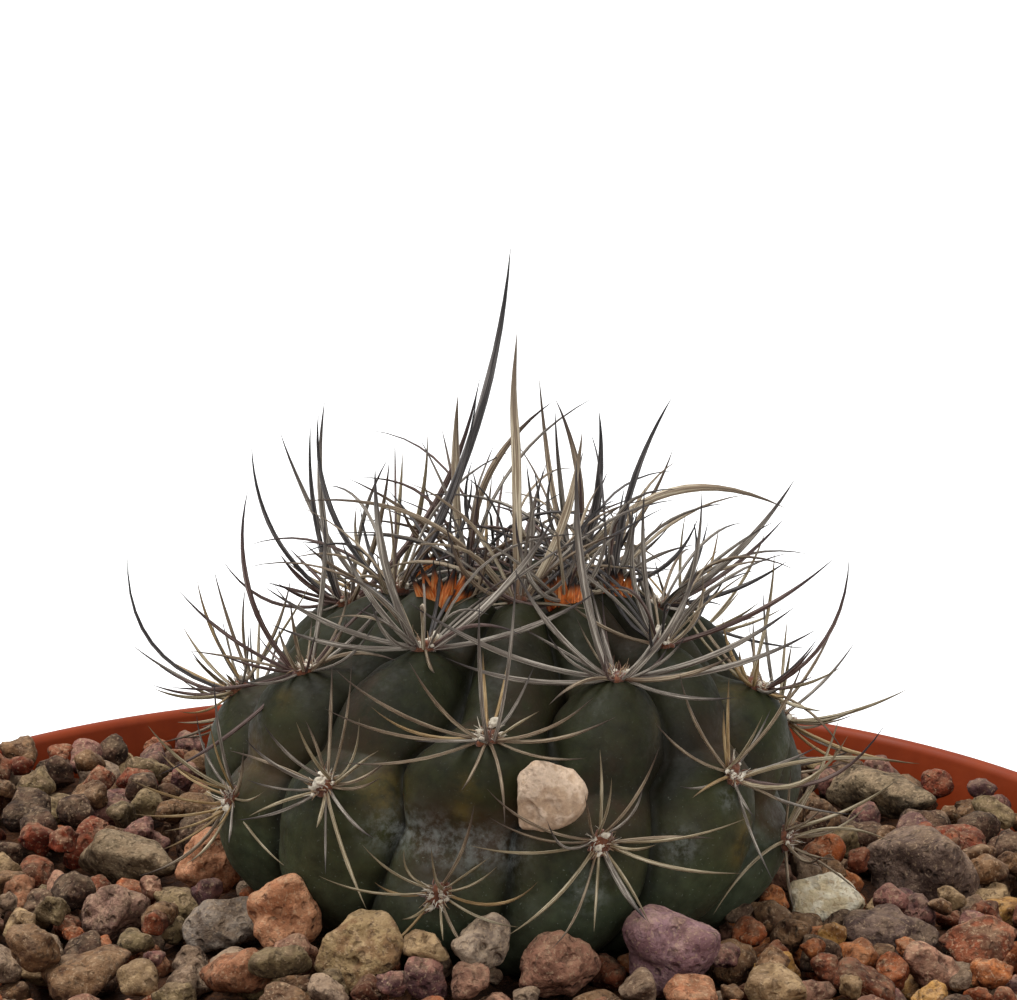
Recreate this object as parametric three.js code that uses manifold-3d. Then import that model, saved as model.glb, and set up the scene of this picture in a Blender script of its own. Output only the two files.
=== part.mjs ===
// A small ribbed cactus with long upswept spines, set in coarse gravel in a round plastic pot.
// Millimetres. Z is up, the side seen in the photo faces -Y, the origin is under the pot's middle.

import * as THREE from 'three';
import Module from 'manifold-3d';

const wasm = await Module();
wasm.setup();

// Pot, a standard 12 cm one
const POT_HEIGHT = 92;
const RIM_RADIUS = 60;
const RIM_BAND = 18;
const RIM_STEP = 1.6;
const FOOT_RADIUS = 43;
const FOOT_WIDTH = 5;
const FOOT_RECESS = 2;
const POT_WALL = 1.6;
const POT_EDGE = 0.8;
const POT_SIDES = 48;
const DRAIN_RADIUS = 4;
const DRAIN_CIRCLE = 27;
const DRAIN_COUNT = 6;
const DRAIN_SIDES = 12;

// How flat neighbouring triangles lie before they are joined
const FLATNESS = 0.01;

// Clear space between two pieces that touch, round a loose stone, and round the ribbed stem
const FIT = 0.3;
const SOCKET_FIT = 0.4;
const STEM_FIT = 2.5;

// Gravel, level by the wall and mounded up around the plant, with heaps against the front of the
// plant and by the wall at the back
const GRAVEL_AT_WALL = POT_HEIGHT - 5.2;
const GRAVEL_AT_PLANT = POT_HEIGHT - 1.8;
const MOUND_RADIUS = 27;
const MOUND_END = 54;
const HEAPS = [
  { at: [-4, -22], reach: 30, rise: 2.4 },
  { at: [-46, 32], reach: 28, rise: 3.2 },
  { at: [46, 34], reach: 24, rise: 2 },
];
const GRAVEL_DEPTH = 9;
const STONE_SPACING = 7.9;
const STONE_JITTER = 1.1;
const STONE_RISES = [2.2, 3.6];
const STONE_SHOULDER = 0.72;
const SHOULDER_RISE = 0.5;

// Stem: a broad low dome, measured up from its foot
const STEM_AT = [1.2, 1.5, POT_HEIGHT - 4];
const STEM_RADIUS = 25;
const BELT = 12;
const CROWN_RISE = 15.5;
const FOOT_DROP = 14.5;
const CROWN_POWER = 0.75;
const FOOT_POWER = 0.7;
const FOOT_ANGLE = 150;
const SIDE_SHARE = 0.965;
const SIDE_CROWN_POWER = 0.15;
const SIDE_FOOT_POWER = 0.4;
const CROWN_DIMPLE = 2.5;
const DIMPLE_RADIUS = 4;
const CROWN_SWELL = 1.6;
const SWELL_RADIUS = 7;
const SWELL_WIDTH = 4;
const STEM_MESH = { from: 5, rows: 18, perRib: 4 };

// Hole round the stem's foot, and the seat against its side that the lodged stone is cut to
const HOLE_MESH = { from: 76, to: 154, rows: 6, perRib: 2 };
const SEAT_MESH = { from: 55, to: 115, rows: 12, perRib: 4 };

// Taproot under the stem: radius and height below the stem's own zero
const TAPROOT = [[11, 4], [9, -4], [6, -12], [2.5, -22], [0.8, -28]];
const TAPROOT_SIDES = 10;

// Ribs: 13 of them, the first a little left of the viewer, leaning as they rise
const RIB_COUNT = 13;
const RIB_STEP = 360 / RIB_COUNT;
const FIRST_RIB = -7;
const LEAN_ZERO = 72;
const LEAN = 0.1;
const LEAN_SWING = 0.2;
const LEAN_TOWARDS = 45;
const FURROW_DEPTH = 3.4;
const FURROW_FADE = 28;
const FURROW_LOW_SHARE = 0.6;
const FURROW_LOW_FROM = 55;
const FURROW_LOW_TO = 95;
const RIDGE_POWER = 0.55;
const CHIN = 1.1;
const CHIN_POWER = 0.6;
const CHIN_FADE = 18;
const CHIN_IN_FURROW = 0.35;
const CHIN_PEAK = 0.2;
const CHIN_NOTCH = 0.75;
const FURROW_SWAY = 3;
const AREOLE_GAP = 70;

// Steps over which the skin's slopes are taken: degrees down a rib, and shares across it
const SLOPE_STEP = 0.06;
const AREOLE_STEP = 1;
const ACROSS_STEP = 0.02;

// Areoles down each rib, in degrees from the crown
const AREOLES = [
  [10, 57, 93],
  [13, 39, 85],
  [32, 73],
  [17, 56, 97],
  [31, 76],
  [14, 58, 99],
  [38, 84],
  [24, 66],
  [12, 50, 92],
  [37, 79],
  [20, 64],
  [7, 46, 86],
  [28, 75],
];

// Spines read off the photo. Each tip is given from its areole: right, back and up in mm, then
// how far the spine sags below its chord where that isn't the usual share of its length.
// fill is the number of further spines that the rule adds to the areole.
const SEEN_SPINES = [
  { rib: 0, nth: 0, fill: 5, tips: [[-17.5, -2, 8.5, -3], [-0.5, 0, 22], [5, 1, 14]] },
  {
    rib: 0, nth: 1, fill: 1,
    tips: [
      [-6, -6, 7.5], [-11.5, -7, 7], [-12.5, -7, 4], [-11, -6, -0.5], [2, -9, 16], [-1, -12, 14],
      [8, -8, 5.5], [9.5, -8, 4], [7.5, -7, 0.5], [1.5, -7, -5], [-2, -6, -2.5],
    ],
  },
  {
    rib: 0, nth: 2, fill: 2,
    tips: [
      [-9, -5, 3], [-5.5, -5, 5.5], [-0.5, -5, 5.5], [4.5, -5, 4], [6.5, -4.5, -1], [0.5, -5, -2],
      [-2.5, -6, 0],
    ],
  },
  {
    rib: 1, nth: 1, fill: 1,
    tips: [
      [-3.5, 2, 17], [6, -3, 10], [13.5, -4, 7], [15, -7, 6], [9, -7, 0.5], [9, -7, 4],
      [-13.5, -8, 3.5], [-16.5, -6, 7.5], [-8.5, -5, 10], [-5.5, -6.5, -0.5],
    ],
  },
  {
    rib: 1, nth: 2, fill: 0,
    tips: [
      [-1.5, -7, 6], [0.5, -6, 7], [4, -6, 9.5], [11, -4, 3.5], [4, -5, 1.5], [10.5, -4, -1],
      [3.5, -5, -4.5], [-0.5, -6.5, -5], [-7, -9, -4.5], [-10, -6, 1.5], [-9, -9.5, 7],
      [-8.5, -8.5, 4.5],
    ],
  },
  {
    rib: 2, nth: 0, fill: 5,
    tips: [[13.5, -3, 8], [-1.5, 2, 12.5], [3, 1, 12.5], [-8, -4, 4.5]],
  },
  {
    rib: 2, nth: 1, fill: 2,
    tips: [
      [-4.5, -3, 9], [-6.5, -5, 5.5], [2, -4, 6], [8.5, -6, 5, 2], [11.5, -4, 5.5, 2.5],
      [14, -3, 2, -1], [9.5, -4, -2], [3, -6, -7], [-4.5, -7, 1],
    ],
  },
  { rib: 3, nth: 0, fill: 6, tips: [[5, 0, 16, -1], [5.5, -3, 9, -3], [2, -2, 7.5]] },
  {
    rib: 3, nth: 1, fill: 2,
    tips: [
      [7, -2, 11.5, 2], [4.5, -3, 4.5], [5, 1, 4], [4.5, -2, 1.5], [2.5, -3, 0],
      [7, -4, -4.5, -1], [-2.5, -3, 3.5], [-1.5, 0, 3], [0, -2, 3], [-2.5, 1, 1.5],
    ],
  },
  {
    rib: 3, nth: 2, fill: 2,
    tips: [
      [2.5, -2, 3], [2.5, 0, 1.5], [8.5, 1, -0.5, -1], [2.5, -3, -1.5], [4, -1, -1.5],
      [0, -4.5, -3], [-6.5, -8, -4, -2], [5, 2, 0.5], [0, -2, 6.5],
    ],
  },
  {
    rib: 4, nth: 0, fill: 5,
    tips: [[11, 0, 11], [10.5, -2, 4.5], [10.5, 3, 7], [3, 0, 5], [13, 4, -4.5], [9, 4, 5]],
  },
  {
    rib: 5, nth: 0, fill: 6,
    tips: [[2, 0, 13.5], [-1.5, 2, 14, -2], [18, 2, 5, -4], [0.5, -2, 10.5]],
  },
  { rib: 8, nth: 0, fill: 7, tips: [[7, 0, 14, -2], [-1, 2, 14]] },
  {
    rib: 9, nth: 0, fill: 2,
    tips: [
      [11, 2, 19, 2], [-2, 1, 17], [-3, -2, 15.5], [-8, 0, 13.5, 2], [3.5, -3, 13, -1],
      [-10.5, 0, 3.5, 2], [-5.5, -2, 4.5], [-5.5, -4, 2.5],
    ],
  },
  {
    rib: 10, nth: 0, fill: 5,
    tips: [[-6.5, 1, 14.5, 2], [-7.5, -3, 4.5], [9, 3, 28], [6.5, -1, 17]],
  },
  {
    rib: 10, nth: 1, fill: 4,
    tips: [
      [-9, 0, 11.5, 3], [-7, -1, 0.5], [-6.5, 1, 1.5], [-3, 1, 0], [-1.5, 3, 5.5], [-2, -1, 6],
    ],
  },
  {
    rib: 11, nth: 1, fill: 2,
    tips: [
      [-4.5, -1, 15, 2], [-10, -2, 7], [-10.5, -4, -0.5], [-11.5, -5, -7.5], [-1, -4, 7],
      [3.5, -4, 5.5], [7.5, -6, 2.5], [-2, -2, 4],
    ],
  },
  {
    rib: 11, nth: 2, fill: 2,
    tips: [
      [-1.5, -3, 7.5], [-4.5, -2, 3.5], [-8, -3, 2.5], [-7.5, -3, -0.5], [-5, -4, -1.5],
      [-5.5, -3, -3.5], [-1, -5, -1], [3, -6, 2.5], [5, -7, -3.5],
    ],
  },
  {
    rib: 12, nth: 0, fill: 3,
    tips: [
      [-4, 0, 14.5], [-6.5, -2, 9], [-12.5, -3, 5.5], [-12, -5, 3], [10.5, -3, 12],
      [13.5, -5, 6], [1, -6, -0.5],
    ],
  },
  {
    rib: 12, nth: 1, fill: 1,
    tips: [
      [2, -4, 11], [-2, -5, 6.5], [-4.5, -4, 6], [-6, -3, 4.5], [-6, -2, 1], [-6.5, -3, -2],
      [0.5, -7, -5], [3.5, -7.5, -7.5], [4, -7, -2], [5, -6, 4], [4.5, -6, 2.5],
    ],
  },
];

// Spines set by the rule, on the areoles that the photo hides
const SPINES_AN_AREOLE = 8;
const MIDDLE_SHARE = 1 / 3;
const OUTER_LENGTHS = [8, 12];
const OUTER_LIFTS = [22, 38];
const MIDDLE_LENGTHS = [12, 20];
const MIDDLE_LIFTS = [55, 75];
const LOW_AREOLE = 50;
const LOW_MIDDLE_LENGTHS = [9, 12];
const CROWN_ANGLE = 35;
const CROWN_MIDDLE_LENGTHS = [7, 12];
const CLOCK_JITTER = 0.12;
const SAG_SHARE = 0.06;
const CROWN_SAG_SHARE = 0.15;
const THICKNESS = { thinnest: 0.34, perLength: 0.017, atBend: 0.85, toCorner: 0.6 };
const SPINE_SINK = 1.8;
const SHORT_SPINE = 8;
const SPINE_CLEAR = 5;
const SPINE_TO_SKIN = 1.5;
const SPINE_TESTED_AT = [0.6, 1];
const PUSHED_OUT = 0.5;

// Wool pad under each bunch of spines
const PAD_RADIUS = 1.2;
const PAD_RISE = 0.8;
const PAD_SINK = 1;
const PAD_SIDES = 5;
const SPINE_RING = 0.9;

// Stones that stand out in the photo: centre, then half their width, depth and height, the turn
// about Z in degrees, and their colour
const STONES = {
  mauve: { at: [14.1, -23.7, 94], half: [3.7, 3, 3.4], turn: 10, colour: 0x7c5a55 },
  red_pink: { at: [5.3, -26, 93.4], half: [3.3, 2.4, 2.6], turn: -5, colour: 0x94604f },
  pitted: { at: [-0.7, -25.6, 95], half: [2.3, 2.1, 2.3], turn: 20, colour: 0x8f8270 },
  olive: { at: [-9.8, -24.6, 94.1], half: [3.3, 2.7, 2.9], turn: 0, colour: 0x756650 },
  orange: { at: [-16.1, -18.8, 95], half: [2.7, 2.5, 3.2], turn: 0, colour: 0x9a6a4c },
  salmon: { at: [-23.5, 0.6, 92.9], half: [2.7, 2.6, 2.9], turn: 30, colour: 0xa4705a },
  blue_grey: { at: [-20.9, -11, 91.3], half: [3.6, 2.7, 2.4], turn: 25, colour: 0x6d6a68 },
  dusty: { at: [-30.8, -5.2, 90.2], half: [2.8, 2.6, 2.6], turn: 0, colour: 0x85675a },
  slate: { at: [32.7, -8, 90.8], half: [3.7, 2.6, 1.7], turn: -10, colour: 0x5a4a4d },
  dark: { at: [37, 10.8, 89.8], half: [4.7, 3.6, 4], turn: -35, colour: 0x574a47 },
  long_green: { at: [35.6, 30.6, 91], half: [6.2, 2.3, 2.2], turn: -44, colour: 0x66645a },
  long_blue: { at: [-31, 6.9, 90.8], half: [6.3, 2.2, 2.3], turn: -49, colour: 0x67625e },
};

// The stone caught among the spines, lodged between two ribs
const LODGED = { at: [4.7, -23.7, 106.5], half: [2.8, 1.6, 2.9], turn: 8, colour: 0xb08f7c };

// Corners of a stone are pushed in or out to between these shares of its size
const CORNERS_AT = [0.9, 1.06];

const SEEDS = { spines: 20261130, gravel: 4711, lodged: 99 };

const COLOURS = {
  pot: 0x96502f,
  soil: 0x3b2b20,
  gravel: 0x84705f,
  cactus: 0x525a3c,
};
const ROUGHNESS = { pot: 0.55, soil: 0.95, gravel: 0.9, cactus: 0.7, stone: 0.85 };

// Small shared tools

const radians = (degrees) => (degrees * Math.PI) / 180;
const mix = (a, b, share) => a + (b - a) * share;

function smooth(share) {
  const s = Math.min(Math.max(share, 0), 1);
  return s * s * (3 - 2 * s);
}

// Repeatable draws between 0 and 1
function drawsFrom(seed) {
  let state = seed;
  return () => {
    state = (Math.imul(state, 1664525) + 1013904223) >>> 0;
    return state / 4294967296;
  };
}

// Closed solid from points and triangles, whichever way round they were wound
function solid(points, triangles) {
  let volume = 0;
  for (const [a, b, c] of triangles) {
    volume += points[a].dot(new THREE.Vector3().crossVectors(points[b], points[c]));
  }
  const faces = volume < 0 ? triangles.map(([a, b, c]) => [a, c, b]) : triangles;
  return new wasm.Manifold(new wasm.Mesh({
    numProp: 3,
    vertProperties: new Float32Array(points.flatMap((p) => [p.x, p.y, p.z])),
    triVerts: new Uint32Array(faces.flat()),
  }));
}

// Middle of a ring as a ring of one, or nothing where the ring is a point already
function cap(ring) {
  if (ring.length === 1) {
    return [];
  }
  const middle = new THREE.Vector3();
  ring.forEach((p) => middle.addScaledVector(p, 1 / ring.length));
  return [[middle]];
}

// Solid skinned over a stack of rings. A ring of one point is a pole, an open end is closed flat.
function loft(rings) {
  const stack = [...cap(rings[0]), ...rings, ...cap(rings.at(-1))];
  const points = stack.flat();
  const triangles = [];
  let start = 0;
  for (let i = 0; i + 1 < stack.length; i += 1) {
    const upper = stack[i].length;
    const lower = stack[i + 1].length;
    const next = start + upper;
    const count = Math.max(upper, lower);
    for (let j = 0; j < count; j += 1) {
      const k = (j + 1) % count;
      if (lower > 1) {
        triangles.push([start + (upper > 1 ? j : 0), next + j, next + k]);
      }
      if (upper > 1) {
        triangles.push([start + j, next + (lower > 1 ? k : 0), start + k]);
      }
    }
    start = next;
  }
  return solid(points, triangles);
}

// Turned solid from [radius, height] steps
function turned(profile, sides, x = 0, y = 0) {
  return loft(profile.map(([radius, z]) => {
    if (radius === 0) {
      return [new THREE.Vector3(x, y, z)];
    }
    return Array.from({ length: sides }, (_, j) => {
      const angle = (2 * Math.PI * j) / sides;
      return new THREE.Vector3(x + radius * Math.cos(angle), y + radius * Math.sin(angle), z);
    });
  }));
}

// The biggest piece, where a cut leaves crumbs
function biggest(manifold) {
  return manifold.decompose().sort((a, b) => b.volume() - a.volume())[0];
}

function meshOf(name, manifold, colour, roughness) {
  const { vertProperties, triVerts } = manifold.asOriginal().simplify(FLATNESS).getMesh();
  const geometry = new THREE.BufferGeometry();
  geometry.setAttribute('position', new THREE.BufferAttribute(vertProperties, 3));
  geometry.setIndex(new THREE.BufferAttribute(triVerts, 1));
  geometry.computeVertexNormals();
  const material = new THREE.MeshStandardMaterial({ color: colour, roughness, metalness: 0 });
  const mesh = new THREE.Mesh(geometry, material);
  mesh.name = name;
  return mesh;
}

// Pot

const BAND_FOOT = POT_HEIGHT - RIM_BAND;
const BODY_TOP_RADIUS = mix(FOOT_RADIUS, RIM_RADIUS, BAND_FOOT / POT_HEIGHT) - RIM_STEP;
const POT_FLOOR = FOOT_RECESS + POT_WALL;

// Outside radius of the pot's body and of its rim band at a height
const bodyRadius = (z) => mix(FOOT_RADIUS, BODY_TOP_RADIUS, z / BAND_FOOT);
const bandRadius = (z) => mix(FOOT_RADIUS, RIM_RADIUS, z / POT_HEIGHT);

// Inside of the pot from one height to another, kept a clearance away from its stepped wall
function potInside(from, to, clearance) {
  const step = [BAND_FOOT, BAND_FOOT + 2 * POT_EDGE].filter((z) => z > from && z < to);
  return [from, ...step, to].map((z) => {
    const outside = z > BAND_FOOT + POT_EDGE ? bandRadius(z) : bodyRadius(z);
    return [outside - POT_WALL - clearance, z];
  });
}

function makePot() {
  const body = turned([
    [0, FOOT_RECESS],
    [FOOT_RADIUS - FOOT_WIDTH, FOOT_RECESS],
    [FOOT_RADIUS - FOOT_WIDTH + POT_EDGE, 0],
    [FOOT_RADIUS - POT_EDGE, 0],
    [FOOT_RADIUS, POT_EDGE],
    [BODY_TOP_RADIUS, BAND_FOOT],
    [BODY_TOP_RADIUS + RIM_STEP, BAND_FOOT + POT_EDGE],
    [RIM_RADIUS, POT_HEIGHT - POT_EDGE / 2],
    [RIM_RADIUS - POT_EDGE / 2, POT_HEIGHT],
    [RIM_RADIUS - POT_WALL + POT_EDGE / 2, POT_HEIGHT],
    ...potInside(POT_FLOOR, POT_HEIGHT - POT_EDGE / 2, 0).reverse(),
    [0, POT_FLOOR],
  ], POT_SIDES);
  const drains = Array.from({ length: DRAIN_COUNT }, (_, i) => {
    const angle = (2 * Math.PI * i) / DRAIN_COUNT;
    const at = [DRAIN_CIRCLE * Math.cos(angle), DRAIN_CIRCLE * Math.sin(angle)];
    return turned([[DRAIN_RADIUS, -1], [DRAIN_RADIUS, POT_FLOOR + 1]], DRAIN_SIDES, ...at);
  });
  return body.subtract(wasm.Manifold.union(drains));
}

// Stem

function ridgeAzimuth(rib, theta) {
  const azimuth = FIRST_RIB + RIB_STEP * rib;
  const lean = LEAN + LEAN_SWING * Math.cos(radians(azimuth - LEAN_TOWARDS));
  return azimuth + lean * (LEAN_ZERO - theta);
}

// Swelling along a rib: 1 on the chin under an areole, 0 in the notch over the next
function swelling(rib, theta) {
  return plainSwelling(rib, theta) ** CHIN_POWER;
}

// The same as an even wave, before its crests are made broader
function plainSwelling(rib, theta) {
  const list = AREOLES[(rib + RIB_COUNT) % RIB_COUNT];
  const below = list.findIndex((areole) => theta < areole);
  let along = Math.min((theta - list.at(-1)) / AREOLE_GAP, 1);
  if (below === 0) {
    const gap = list[0] >= AREOLE_GAP ? AREOLE_GAP : list[0];
    along = Math.max(1 - (list[0] - theta) / gap, 0);
  } else if (below > 0) {
    along = (theta - list[below - 1]) / (list[below] - list[below - 1]);
  }
  const rise = 1 - CHIN_NOTCH + CHIN_PEAK;
  if (along >= CHIN_PEAK && along < CHIN_NOTCH) {
    return 0.5 + 0.5 * Math.cos((Math.PI * (along - CHIN_PEAK)) / (CHIN_NOTCH - CHIN_PEAK));
  }
  const climbed = along < CHIN_PEAK ? along + 1 - CHIN_NOTCH : along - CHIN_NOTCH;
  return 0.5 - 0.5 * Math.cos((Math.PI * climbed) / rise);
}

// Belt radius and the powers above and below it: the stem is slimmer seen from the front
function domeShape(azimuth) {
  const sideways = Math.sin(azimuth) ** 2;
  return [
    STEM_RADIUS * mix(1, SIDE_SHARE, sideways),
    CROWN_POWER + SIDE_CROWN_POWER * sideways,
    FOOT_POWER + SIDE_FOOT_POWER * sideways,
  ];
}

// Radius and height of the plain dome
function dome(theta, azimuth) {
  const [beltRadius, crownPower, footPower] = domeShape(azimuth);
  const sine = Math.max(Math.sin(radians(theta)), 0);
  const cosine = Math.cos(radians(theta));
  if (cosine >= 0) {
    return [beltRadius * sine ** crownPower, BELT + CROWN_RISE * cosine ** crownPower];
  }
  return [beltRadius * sine ** footPower, BELT - FOOT_DROP * (-cosine) ** footPower];
}

// Height of the swollen ring round the crown's dimple, and of the dimple in it
function crownRise(radius) {
  return CROWN_SWELL * Math.exp(-(((radius - SWELL_RADIUS) / SWELL_WIDTH) ** 2))
    - CROWN_DIMPLE * Math.exp(-((radius / DIMPLE_RADIUS) ** 2));
}

// Point on the skin: across runs from 0 in the furrow before a rib to 1 in the furrow after it
function skin(rib, across, theta, clearance = 0) {
  const own = swelling(rib, theta);
  const middle = ridgeAzimuth(rib, theta);
  const side = across < 0.5 ? -1 : 1;
  const other = swelling(rib + side, theta);
  const sway = side * FURROW_SWAY * (own - other);
  const furrow = (ridgeAzimuth(rib + side, theta) + middle) / 2 + sway;
  const off = Math.abs(2 * across - 1);
  const azimuth = radians(mix(middle, furrow, off));
  const ridge = Math.max(Math.cos((off * Math.PI) / 2), 0) ** RIDGE_POWER;
  const swell = own + (other - own) * 0.5 * off * off;
  const [radius, height] = dome(theta, azimuth);
  const [radiusAfter, heightAfter] = dome(theta + SLOPE_STEP, azimuth);
  const [radiusBefore, heightBefore] = dome(Math.max(theta - SLOPE_STEP, 0), azimuth);
  const slope = Math.hypot(radiusAfter - radiusBefore, heightAfter - heightBefore);
  const outward = -(heightAfter - heightBefore) / slope;
  const upward = (radiusAfter - radiusBefore) / slope;
  const low = smooth((theta - FURROW_LOW_FROM) / (FURROW_LOW_TO - FURROW_LOW_FROM));
  const depth = FURROW_DEPTH * smooth(theta / FURROW_FADE) * mix(1, FURROW_LOW_SHARE, low);
  const rise = clearance - depth * (1 - ridge)
    + CHIN * smooth(theta / CHIN_FADE) * (2 * swell - 1) * mix(CHIN_IN_FURROW, 1, ridge);
  const crown = theta < 90 ? crownRise(radius) : 0;
  const finalRadius = Math.max(radius + outward * rise, 0);
  return new THREE.Vector3(
    STEM_AT[0] + finalRadius * Math.sin(azimuth),
    STEM_AT[1] - finalRadius * Math.cos(azimuth),
    STEM_AT[2] + height + upward * rise + crown,
  );
}

// Stack of rings down the stem, with so many points to a rib
function stemRings({ from, to = FOOT_ANGLE, rows, perRib }, clearance) {
  return Array.from({ length: rows + 1 }, (_, i) => {
    const theta = mix(from, to, i / rows);
    return Array.from({ length: RIB_COUNT * perRib }, (_point, j) => (
      skin(Math.floor(j / perRib), (j % perRib) / perRib, theta, clearance)));
  });
}

function makeRoot(clearance) {
  const profile = TAPROOT.map(([radius, z]) => [radius + clearance, STEM_AT[2] + z - clearance]);
  return turned(profile, TAPROOT_SIDES, STEM_AT[0], STEM_AT[1]);
}

function makeStem() {
  const top = STEM_AT[2] + BELT + CROWN_RISE + crownRise(0);
  const crown = [new THREE.Vector3(STEM_AT[0], STEM_AT[1], top)];
  return loft([crown, ...stemRings(STEM_MESH, 0)]).add(makeRoot(0));
}

// Room that the gravel and the soil leave for the stem
function makeStemHole() {
  return loft(stemRings(HOLE_MESH, STEM_FIT)).add(makeRoot(SOCKET_FIT));
}

// Spines

// Place and directions of an areole: across the rib, up the rib and out of the skin
function areole(rib, nth) {
  const theta = AREOLES[rib][nth];
  const at = skin(rib, 0.5, theta);
  const above = skin(rib, 0.5, theta - AREOLE_STEP);
  const up = above.sub(skin(rib, 0.5, theta + AREOLE_STEP)).normalize();
  const right = skin(rib, 0.5 + ACROSS_STEP, theta);
  const across = right.sub(skin(rib, 0.5 - ACROSS_STEP, theta)).normalize();
  const out = new THREE.Vector3().crossVectors(across, up).normalize();
  return { at, up, across, out, theta };
}

function spineThickness(length) {
  return THICKNESS.thinnest + THICKNESS.perLength * length;
}

// Three-sided needle with one bend, or none where it is short, its root sunk in the stem
function needle(place, offset, sag) {
  const length = offset.length();
  const chord = offset.clone().normalize();
  const lift = new THREE.Vector3(0, 0, 1).addScaledVector(chord, -chord.z);
  if (lift.length() < 0.05) {
    lift.copy(place.out).addScaledVector(chord, -chord.dot(place.out)).negate();
  }
  lift.normalize();
  const along = offset.clone().addScaledVector(place.out, -offset.dot(place.out));
  const foot = place.at.clone();
  if (along.length() > 0.01) {
    foot.addScaledVector(along.normalize(), SPINE_RING);
  }
  const tip = place.at.clone().add(offset);
  const bend = foot.clone().add(tip).multiplyScalar(0.5).addScaledVector(lift, -sag);
  const root = foot.clone().addScaledVector(place.out, -SPINE_SINK);
  const side = new THREE.Vector3().crossVectors(chord, lift).normalize();
  const ring = (centre, thickness) => [0, 1, 2].map((corner) => {
    const angle = (2 * Math.PI * corner) / 3;
    return centre.clone()
      .addScaledVector(side, Math.cos(angle) * thickness * THICKNESS.toCorner)
      .addScaledVector(lift, Math.sin(angle) * thickness * THICKNESS.toCorner);
  });
  const thickness = spineThickness(length);
  if (length < SHORT_SPINE) {
    return loft([ring(root, thickness), [tip]]);
  }
  return loft([ring(root, thickness), ring(bend, thickness * THICKNESS.atBend), [tip]]);
}

// Whether a point lies in the plain dome grown by the room that spines keep to the skin
function insideDome(point) {
  const right = point.x - STEM_AT[0];
  const back = point.y - STEM_AT[1];
  const [beltRadius, crownPower, footPower] = domeShape(Math.atan2(right, -back));
  const height = point.z - STEM_AT[2] - BELT;
  const rise = height > 0 ? CROWN_RISE : FOOT_DROP;
  const power = 2 / (height > 0 ? crownPower : footPower);
  const wide = (Math.hypot(right, back) / (beltRadius + SPINE_TO_SKIN)) ** power;
  return wide + (Math.abs(height) / (rise + SPINE_TO_SKIN)) ** power < 1;
}

// Shortest and longest middle spine that the rule sets so many degrees from the crown
function middleLengthsAt(theta) {
  if (theta < CROWN_ANGLE) {
    return CROWN_MIDDLE_LENGTHS;
  }
  return theta > LOW_AREOLE ? LOW_MIDDLE_LENGTHS : MIDDLE_LENGTHS;
}

// Offsets of the spines that the rule adds to an areole
function ruledSpines(place, count, draw) {
  const offsets = [];
  const middles = Math.round(count * MIDDLE_SHARE);
  const middleLengths = middleLengthsAt(place.theta);
  for (let i = 0; i < count; i += 1) {
    const inMiddle = i < middles;
    const turns = inMiddle ? i / middles : (i - middles) / (count - middles);
    const clock = 2 * Math.PI * (turns + CLOCK_JITTER * (draw() - 0.5));
    const length = mix(...(inMiddle ? middleLengths : OUTER_LENGTHS), draw());
    const lift = radians(mix(...(inMiddle ? MIDDLE_LIFTS : OUTER_LIFTS), draw()));
    const offset = new THREE.Vector3()
      .addScaledVector(place.up, Math.cos(lift) * Math.cos(clock) * length)
      .addScaledVector(place.across, Math.cos(lift) * Math.sin(clock) * length)
      .addScaledVector(place.out, Math.sin(lift) * length);
    offset.z = Math.max(offset.z, POT_HEIGHT + SPINE_CLEAR - place.at.z);
    const pointAt = (share) => place.at.clone().addScaledVector(offset, share);
    while (SPINE_TESTED_AT.some((share) => insideDome(pointAt(share)))) {
      offset.addScaledVector(place.out, PUSHED_OUT);
    }
    offsets.push(offset);
  }
  return offsets;
}

function makeCactus() {
  const draw = drawsFrom(SEEDS.spines);
  const pieces = [makeStem()];
  AREOLES.forEach((list, rib) => list.forEach((_, nth) => {
    const place = areole(rib, nth);
    pieces.push(woolPad(place));
    const seen = SEEN_SPINES.find((row) => row.rib === rib && row.nth === nth);
    for (const [right, back, up, sag] of seen ? seen.tips : []) {
      const offset = new THREE.Vector3(right, back, up);
      pieces.push(needle(place, offset, sag ?? SAG_SHARE * offset.length()));
    }
    const count = seen ? seen.fill : SPINES_AN_AREOLE;
    const sagShare = place.theta < CROWN_ANGLE ? CROWN_SAG_SHARE : SAG_SHARE;
    for (const offset of ruledSpines(place, count, draw)) {
      pieces.push(needle(place, offset, sagShare * offset.length()));
    }
  }));
  return wasm.Manifold.union(pieces);
}

// Low tuft with a few sides, sunk in the skin
function woolPad(place) {
  const ring = Array.from({ length: PAD_SIDES }, (_, corner) => {
    const angle = (2 * Math.PI * corner) / PAD_SIDES;
    return place.at.clone()
      .addScaledVector(place.across, PAD_RADIUS * Math.cos(angle))
      .addScaledVector(place.up, PAD_RADIUS * Math.sin(angle))
      .addScaledVector(place.out, -PAD_SINK);
  });
  return loft([ring, [place.at.clone().addScaledVector(place.out, PAD_RISE)]]);
}

// Soil and gravel

// Height of the bed that the loose stones sit in
function bedHeight(x, y) {
  const fromPlant = Math.hypot(x - STEM_AT[0], y - STEM_AT[1]);
  const share = (fromPlant - MOUND_RADIUS) / (MOUND_END - MOUND_RADIUS);
  const heaped = HEAPS.reduce((sum, { at, reach, rise }) => (
    sum + rise * smooth(1 - Math.hypot(x - at[0], y - at[1]) / reach)), 0);
  return mix(GRAVEL_AT_PLANT, GRAVEL_AT_WALL, smooth(share)) + heaped;
}

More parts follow.
